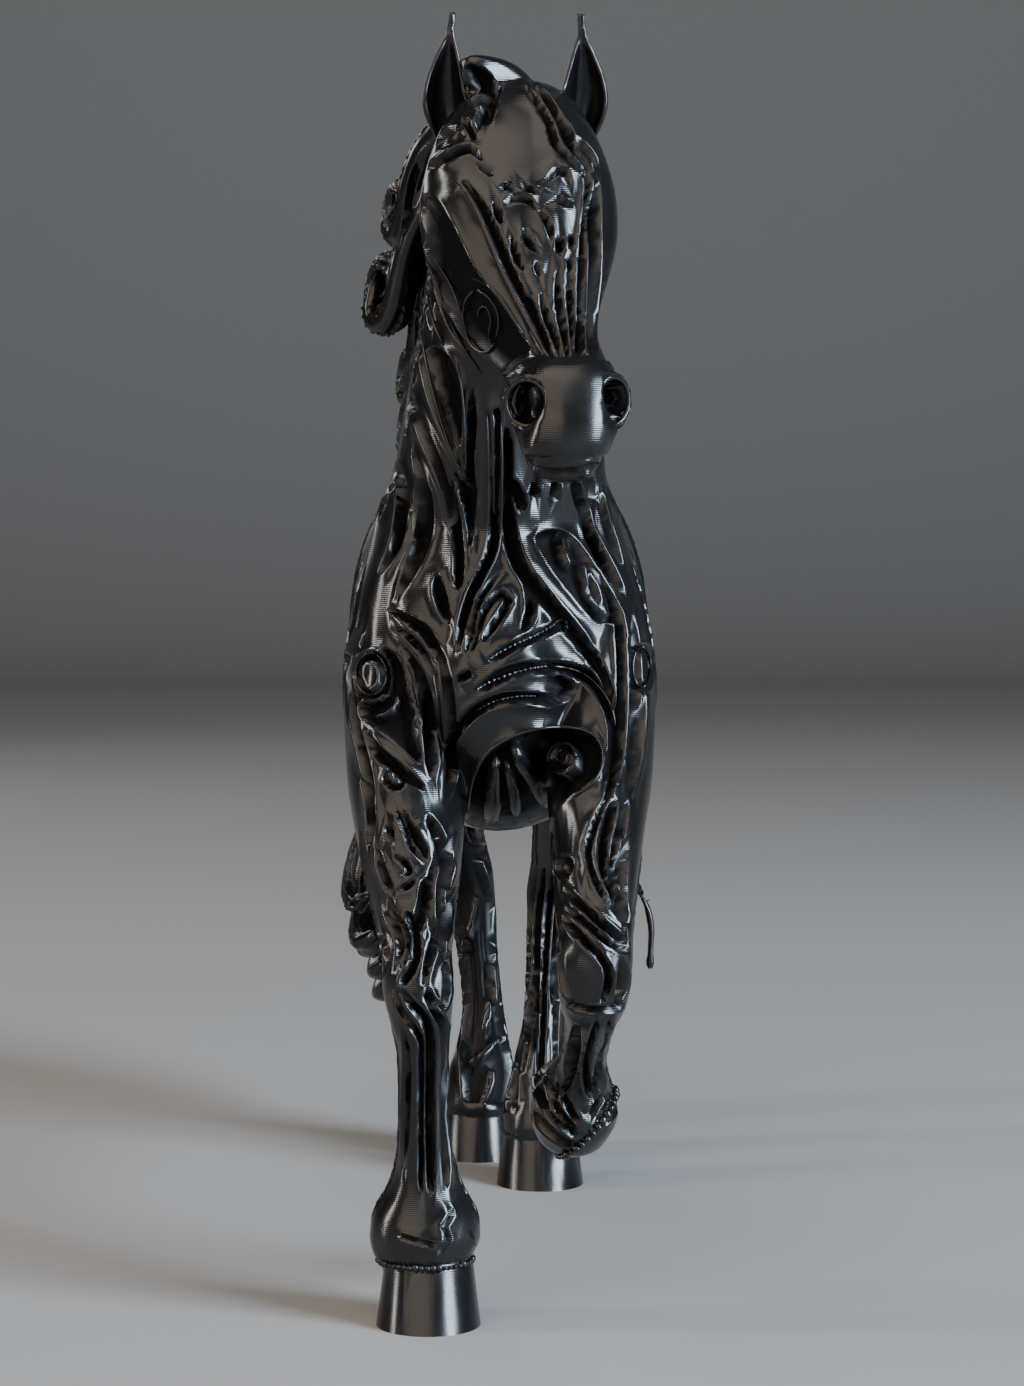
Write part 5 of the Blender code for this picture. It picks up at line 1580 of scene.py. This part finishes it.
@dataclass(frozen=True)
class BeadBand:
    """A ring of small uneven beads, built by a node tree. Sizes are in metres."""

    name: str
    count: int
    bead: float
    seed: int
    least: Row = (0.75, 0.75, 0.70)
    most: Row = (1.30, 1.20, 1.45)

    def tree(self) -> bpy.types.NodeTree:
        """The node tree: beads on the points of an ellipse.

        Returns:
            The tree.
        """
        tree = bpy.data.node_groups.new("%s_tree" % self.name, "GeometryNodeTree")
        for label, kind in (("Half Width", "Float"), ("Half Depth", "Float"), ("Bead", "Float"),
                            ("Count", "Int"), ("Seed", "Int"), ("Material", "Material")):
            tree.interface.new_socket(label, in_out="INPUT", socket_type="NodeSocket" + kind)
        tree.interface.new_socket("Geometry", in_out="OUTPUT", socket_type="NodeSocketGeometry")
        graph = Graph(tree)
        size = graph.add("NodeGroupInput", {}).outputs
        circle = graph.add("GeometryNodeCurvePrimitiveCircle", {"Resolution": 96, "Radius": 1.0})
        scale = graph.add("ShaderNodeCombineXYZ", {"X": size["Half Width"], "Y": size["Half Depth"],
                                                   "Z": 1.0})
        oval = graph.add("GeometryNodeTransform", {"Geometry": circle.outputs["Curve"],
                                                   "Scale": scale.outputs["Vector"]})
        places = graph.add("GeometryNodeResampleCurve", {"Curve": oval.outputs["Geometry"],
                                                         "Count": size["Count"]})
        bead = graph.add("GeometryNodeMeshIcoSphere", {"Subdivisions": 2, "Radius": size["Bead"]})
        uneven = graph.add("FunctionNodeRandomValue", {"Min": self.least, "Max": self.most,
                                                       "Seed": size["Seed"]}, data_type="FLOAT_VECTOR")
        band = graph.add("GeometryNodeInstanceOnPoints", {"Points": places.outputs["Curve"],
                                                          "Instance": bead.outputs["Mesh"],
                                                          "Scale": uneven.outputs["Value"]})
        solid = graph.add("GeometryNodeRealizeInstances", {"Geometry": band.outputs["Instances"]})
        paint = graph.add("GeometryNodeSetMaterial", {"Geometry": solid.outputs["Geometry"],
                                                      "Material": size["Material"]})
        graph.add("NodeGroupOutput", {"Geometry": paint.outputs["Geometry"]})
        return tree

    def mesh(self, half_width: float, half_depth: float, material: bpy.types.Material) -> bpy.types.Mesh:
        """Run the tree and give the beads as a plain mesh.

        Args:
            half_width: half the ring across.
            half_depth: half the ring from front to back.
            material: what the beads are painted with.
        Returns:
            The beads around the origin.
        """
        tree = self.tree()
        holder = bpy.data.objects.new(self.name, bpy.data.meshes.new(self.name))
        bpy.context.scene.collection.objects.link(holder)
        change = holder.modifiers.new("beads", "NODES")
        change.node_group = tree
        values = {"Half Width": half_width, "Half Depth": half_depth, "Bead": self.bead, "Count": self.count,
                  "Seed": self.seed, "Material": material}
        for item in tree.interface.items_tree:
            if item.in_out == "INPUT" and item.name in values:
                change[item.identifier] = values[item.name]
        mesh = plain_mesh(holder)
        holder.modifiers.remove(change)
        bpy.data.objects.remove(holder)
        bpy.data.node_groups.remove(tree)
        return mesh


@dataclass(frozen=True)
class FilamentFinish:
    """Glossy black printed filament, rougher at the foot of the cuts, with painted shade there: the specular
    level drops toward the foot of each cut.
    """

    name: str = "black_filament"
    colour: Tuple[float, float, float, float] = (0.006, 0.006, 0.0065, 1.0)
    roughness: float = 0.19
    uneven: Tuple[float, float] = (-0.06, 0.10)
    carved_roughness: float = 0.30
    # Specular level on the open skin and at the foot of a cut; the low second value is painted shade.
    specular_with_painted_shade: Tuple[float, float] = (0.5, 0.02)
    layer: float = LAYER
    layer_bump: Tuple[float, float] = (0.22, 0.00004)

    def build(self) -> bpy.types.Material:
        """Make the material.

        Returns:
            A node material that works on object coordinates.
        """
        material = bpy.data.materials.new(self.name)
        material.use_nodes = True
        graph = Graph(material.node_tree)
        place = graph.add("ShaderNodeTexCoord", {}).outputs["Object"]
        layers = graph.add("ShaderNodeTexWave", {"Vector": place, "Scale": WAVE_SCALE / self.layer,
                                                 "Distortion": 0.4, "Detail": 1.0, "Detail Scale": 0.6},
                           wave_type="BANDS", bands_direction="Z", wave_profile="SIN")
        noise = graph.add("ShaderNodeTexNoise", {"Vector": place, "Scale": 420.0, "Detail": 3.0})
        rough = graph.add("ShaderNodeMapRange", {"Value": noise.outputs["Fac"],
                                                 "To Min": self.roughness + self.uneven[0],
                                                 "To Max": self.roughness + self.uneven[1]})
        carved = graph.add("ShaderNodeAttribute", {}, attribute_name=DEPTH_LAYER).outputs["Fac"]
        dull = graph.add("ShaderNodeMath", {0: carved, 1: self.carved_roughness, 2: rough.outputs["Result"]},
                         operation="MULTIPLY_ADD")
        # Painted shade: the carved depth turns the specular level down toward the foot of each cut, so the
        # cuts read dark as if in shadow.
        shade = graph.add("ShaderNodeMapRange", {"Value": carved, "To Min": self.specular_with_painted_shade[0],
                                                 "To Max": self.specular_with_painted_shade[1]})
        bump = graph.add("ShaderNodeBump", {"Height": layers.outputs["Fac"], "Strength": self.layer_bump[0],
                                            "Distance": self.layer_bump[1]})
        graph.feed(material.node_tree.nodes["Principled BSDF"],
                   {"Base Color": self.colour, "Metallic": 0.0, "Roughness": dull.outputs["Value"],
                    "Specular IOR Level": shade.outputs["Result"], "Normal": bump.outputs["Normal"]})
        material.diffuse_color = self.colour
        return material


@dataclass
class Horse:
    """The printed horse. Sizes are shares of its height."""

    finish: FilamentFinish = field(default_factory=FilamentFinish)
    name: str = "horse_print"
    nostril_reach: float = 0.024
    dish_reach: float = 0.022
    floor: float = 0.88 * CHANNEL_DEPTH
    least_cut: float = 0.0002
    flank_foot: Tuple[float, float] = (0.355, 0.385)

    def skin(self) -> bpy.types.Mesh:
        """Join all limbs into one closed skin.

        Returns:
            The skin as an even grid of small faces.
        """
        shell = Shell()
        for loft in all_lofts():
            shell.add(loft.rings())
        for x, y in HOOVES.values():
            shell.add(hoof_rings(x, y))
        shell.add(lifted_hoof_rings())
        for base, middle, tip, wide in EARS.values():
            shell.add(ear_rings(base, middle, tip, wide))
        for centre, turn, radius in NOSTRILS:
            shell.add(nostril_rings(centre, turn, radius, NOSTRIL_RIM, 0.0, 4.0, 18), closed=True)
        return modified(shell.to_mesh(), "REMESH", mode="VOXEL", voxel_size=VOXEL, use_smooth_shade=False)

    def carve(self, placing: Placing) -> np.ndarray:
        """Cut the whole pattern.

        Args:
            placing: where each point lies.
        Returns:
            How far each point goes in, as a share of the height.
        """
        carver = Carver(placing)
        above = ramp(placing.points[:, 2], *self.flank_foot)
        legs = (Group.FORE_STANDING, Group.FORE_LIFTED, Group.HIND_NEAR, Group.HIND_FAR)
        flanks = (Group.TRUNK, Group.NECK) + legs
        jobs = [
            (Chart.FRONT, CHEST, BODY), (Chart.FRONT, NECK_LINES, (Group.NECK, Group.TRUNK)),
            (Chart.FRONT, FACE, (Group.HEAD,)), (Chart.FRONT, FOREARM + PASTERN, (Group.FORE_STANDING,)),
            (Chart.FRONT, LIFTED_ARM, (Group.FORE_LIFTED, Group.HOOF)),
            (Chart.FRONT, HIND_FRONT, (Group.HIND_FAR, Group.HIND_NEAR)),
        ]
        for sign in (-1.0, 1.0):
            jobs += [(Chart.SIDE, FLANK, flanks, sign, above), (Chart.TOP, stripes(BACK, sign), flanks),
                     (Chart.REAR, stripes(RUMP, sign), flanks, 1.0, above)]
        jobs += [(Chart.LIMB, shin_channels(leg), (leg,), 1.0, 1.0 - above) for leg in legs]
        jobs.append((Chart.LIMB, hair_channels(), (Group.MANE, Group.TAIL)))
        count = sum(carver.carve(*job) for job in jobs)
        log.info("carving: %d channels", count)
        return CHANNEL_DEPTH * carver.cut - LIP * carver.lip * (1.0 - ramp(np.abs(carver.cut), 0.05, 0.4))

    def dishes(self, placing: Placing) -> np.ndarray:
        """The hollow inside each nostril collar.

        Args:
            placing: where each point lies.
        Returns:
            How each point moves.
        """
        move = np.zeros((len(placing.points), 3))
        for centre, turn, radius in NOSTRILS:
            out, level, up = nostril_frame(turn)
            arm = placing.points - np.array(centre)
            far = np.hypot(arm @ level, (arm @ up) / NOSTRIL_TALL) / (radius - 1.1 * NOSTRIL_RIM)
            near = (np.abs(arm @ out) < self.dish_reach) & (placing.normals @ out > 0.2)
            move -= out * (NOSTRIL_DISH * ramp(1.0 - far, 0.0, 0.08) * near)[:, None]
        return move

    def build(self) -> bpy.types.Object:
        """Make the whole horse.

        Returns:
            The finished object, at the origin.
        """
        material = self.finish.build()
        body = SkinMesh(self.skin())
        log.info("skin: %d points", len(body.points))
        placing = Placing(body.points, all_lofts() + markers())
        gaps = [np.linalg.norm(body.points - np.array(centre), axis=1) for centre, _, _ in NOSTRILS]
        tight = np.min(gaps, axis=0) < self.nostril_reach
        fine = placing.among((Group.EAR,)) | tight
        body.relax(np.where(fine, 0.15, 0.55), 5)
        body.relax(np.where(fine | placing.among((Group.HOOF,)), 0.0, 0.6 * placing.seam), 80)
        body.write()
        placing.locate(body.points, body.normals())
        cut = self.carve(placing)
        body.points = body.points - placing.normals * cut[:, None] + self.dishes(placing)
        touched = np.abs(cut) > self.least_cut
        for live, weight, rounds in ((cut > self.floor, 0.6, 6), (tight, 0.35, 3), (touched, 0.25, 1)):
            body.relax(np.where(live, weight, 0.0), rounds)
        body.write()
        # How deep each point was cut, 0 to 1; the finish paints shade into the cuts from it.
        carved = np.clip(cut / CHANNEL_DEPTH, 0.0, 1.0)
        tree = KDTree(len(body.points))
        for index, point in enumerate(body.points):
            tree.insert(point, index)
        tree.balance()
        mesh = self.thin(self.thin(body, False), True).mesh
        own = len(mesh.vertices)
        mesh = self.trim(mesh, material)
        log.info("horse: %d faces", len(mesh.polygons))
        depth = mesh.attributes.new(DEPTH_LAYER, "FLOAT", "POINT")
        depth.data.foreach_set("value", [carved[tree.find(v.co / HEIGHT)[1]] if v.index < own else 0.0
                                         for v in mesh.vertices])
        self.cut_floor(mesh)
        mesh.transform(Matrix.Translation((-ORIGIN[0] * HEIGHT, -ORIGIN[1] * HEIGHT, 0.0)))
        mesh.materials.clear()
        mesh.materials.append(material)
        mesh.name = self.name
        horse = bpy.data.objects.new(self.name, mesh)
        bpy.context.scene.collection.objects.link(horse)
        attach(horse, "root")
        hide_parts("horse")
        return horse

    @staticmethod
    def trim(mesh: bpy.types.Mesh, material: bpy.types.Material) -> bpy.types.Mesh:
        """Join the thin cords, the nostrils' rims and the rows of beads to the carved skin.

        Args:
            mesh: the skin, which is used up.
            material: what the beads are painted with.
        Returns:
            The skin with all that; the skin's own points come first.
        """
        skin = BVHTree.FromPolygons([v.co for v in mesh.vertices], [tuple(p.vertices) for p in mesh.polygons])
        shell = Shell()
        shell.add_mesh(mesh)
        for rings in (cord.rings(skin) for cord in CORDS):
            if rings:
                shell.add(rings)
        for centre, turn, radius in NOSTRILS:
            shell.add(nostril_rings(centre, turn, radius, RIM_HALF, RIM_RISE, 1.0, 9), closed=True)
        for index, (centre, axis, half, count, bead) in enumerate(BEADS):
            band = BeadBand("coronet_beads_%d" % index, count, bead * HEIGHT, SEED + index)
            row = band.mesh(half[0] * HEIGHT, half[1] * HEIGHT, material)
            turn = Vector((0.0, 0.0, 1.0)).rotation_difference(Vector(axis)).to_matrix().to_4x4()
            row.transform(Matrix.Translation(Vector(centre) * HEIGHT) @ turn)
            shell.add_mesh(row)
        return shell.to_mesh()

    @staticmethod
    def thin(body: SkinMesh, shown: bool) -> SkinMesh:
        """Take faces away, so that what the photograph shows keeps the finest ones.

        Args:
            body: the carved skin, which is used up.
            shown: True to thin the side that the photograph shows, False to thin the rest.
        Returns:
            The skin with fewer faces.
        """
        ray = unit(np.array(VIEW) - body.points)
        front = np.sum(ray * body.normals(), axis=1) > 0.03
        faces = sum(len(p.vertices) - 2 for p in body.mesh.polygons)
        target = SHOWN_TRIANGLES + OTHER_TRIANGLES if shown else OTHER_TRIANGLES + 2 * int(front.sum())
        return SkinMesh(modified(body.mesh, "DECIMATE", front == shown, ratio=min(1.0, target / faces)))

    @staticmethod
    def cut_floor(mesh: bpy.types.Mesh) -> None:
        """Cut everything under the floor away and close the soles.

        Args:
            mesh: the horse's mesh.
        """
        shell = bmesh.new()
        shell.from_mesh(mesh)
        geometry = shell.verts[:] + shell.edges[:] + shell.faces[:]
        bmesh.ops.bisect_plane(shell, geom=geometry, dist=1e-7, plane_co=(0.0, 0.0, 0.0),
                               plane_no=(0.0, 0.0, -1.0), clear_outer=True)
        rim = [e for e in shell.edges if e.is_boundary]
        bmesh.ops.contextual_create(shell, geom=rim)
        bmesh.ops.recalc_face_normals(shell, faces=shell.faces[:])
        for face in shell.faces:
            face.smooth = True
        for edge in rim:
            edge.smooth = False
        shell.to_mesh(mesh)
        shell.free()


@dataclass(frozen=True)
class Light:
    """A soft box that looks at the horse. Sizes are in metres, its power in watts."""

    name: str
    place: Row
    size: Tuple[float, float]
    power: float
    colour: Tuple[float, float, float]

    def build(self) -> None:
        """Set it up."""
        data = bpy.data.lights.new(self.name, "AREA")
        data.shape = "RECTANGLE"
        data.size, data.size_y = self.size
        data.energy = self.power
        data.color = self.colour
        lamp = bpy.data.objects.new(self.name, data)
        lamp.location = self.place
        lamp.rotation_euler = (Vector(LIGHT_AIM) - Vector(self.place)).to_track_quat("-Z", "Y").to_euler()
        bpy.context.scene.collection.objects.link(lamp)


LIGHT_AIM = (0.0, -0.02, 0.065)
LIGHTS = (
    Light("warm_front", (-0.50, -0.95, 0.30), (1.20, 0.90), 7.0, (1.0, 0.83, 0.68)),
    Light("warm_over", (-0.15, -0.45, 1.00), (1.00, 0.90), 6.5, (1.0, 0.85, 0.71)),
    Light("cool_window", (0.64, -0.44, 0.28), (0.30, 0.70), 24.0, (0.68, 0.83, 1.0)),
    Light("left_strip", (-0.66, -0.06, 0.30), (0.06, 0.55), 2.4, (1.0, 0.95, 0.9)),
    Light("back_rim", (-0.30, 0.60, 0.40), (0.18, 0.45), 0.6, (1.0, 0.97, 0.93)),
)


@dataclass
class Studio:
    """A pale floor, soft lights and the photograph's camera. Sizes are in metres."""

    half: float = 3.0
    back: float = 1.2
    bend: float = 0.5
    steps: int = 24
    paper: Tuple[float, float, float, float] = (0.28, 0.277, 0.273, 1.0)
    paper_roughness: float = 0.85
    air: Tuple[float, float, float, float] = (0.80, 0.68, 0.58, 1.0)
    air_strength: float = 0.03
    sensor: float = 36.0
    clip: Tuple[float, float] = (0.01, 20.0)

    def floor(self) -> None:
        """A wide pale sweep that the horse stands on."""
        turns = [0.5 * math.pi * k / self.steps for k in range(self.steps + 1)]
        rows = [(-self.half, 0.0)]
        rows += [(self.back + self.bend * math.sin(a), self.bend * (1.0 - math.cos(a))) for a in turns]
        rows.append((self.back + self.bend, self.half))
        points = [(x, y, z) for y, z in rows for x in (-self.half, self.half)]
        faces = [(2 * i, 2 * i + 1, 2 * i + 3, 2 * i + 2) for i in range(len(rows) - 1)]
        mesh = bpy.data.meshes.new("floor")
        mesh.from_pydata(points, [], faces)
        mesh.shade_smooth()
        material = bpy.data.materials.new("floor_paper")
        material.use_nodes = True
        shader = material.node_tree.nodes["Principled BSDF"]
        shader.inputs["Base Color"].default_value = self.paper
        shader.inputs["Roughness"].default_value = self.paper_roughness
        mesh.materials.append(material)
        floor = bpy.data.objects.new("floor", mesh)
        bpy.context.scene.collection.objects.link(floor)

    def camera(self) -> None:
        """The camera at the photograph's place."""
        data = bpy.data.cameras.new("photo_camera")
        data.sensor_fit = "VERTICAL"
        data.sensor_height = self.sensor
        data.lens = FOCAL_PX / IMAGE[1] * self.sensor
        data.clip_start, data.clip_end = self.clip
        eye = bpy.data.objects.new("photo_camera", data)
        eye.location = ((VIEW[0] - ORIGIN[0]) * HEIGHT, (VIEW[1] - ORIGIN[1]) * HEIGHT, VIEW[2] * HEIGHT)
        eye.rotation_euler = (0.5 * math.pi - VIEW_PITCH, 0.0, 0.0)
        bpy.context.scene.collection.objects.link(eye)
        bpy.context.scene.camera = eye

    def build(self) -> None:
        """Set up the whole stage."""
        self.camera()
        self.floor()
        for light in LIGHTS:
            light.build()
        world = bpy.data.worlds.new("studio")
        bpy.context.scene.world = world
        world.use_nodes = True
        sky = world.node_tree.nodes["Background"]
        sky.inputs["Color"].default_value = self.air
        sky.inputs["Strength"].default_value = self.air_strength


def main() -> None:
    """Build the scene."""
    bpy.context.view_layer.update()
    Studio().build()
    Horse().build()


if __name__ == "__main__":
    main()
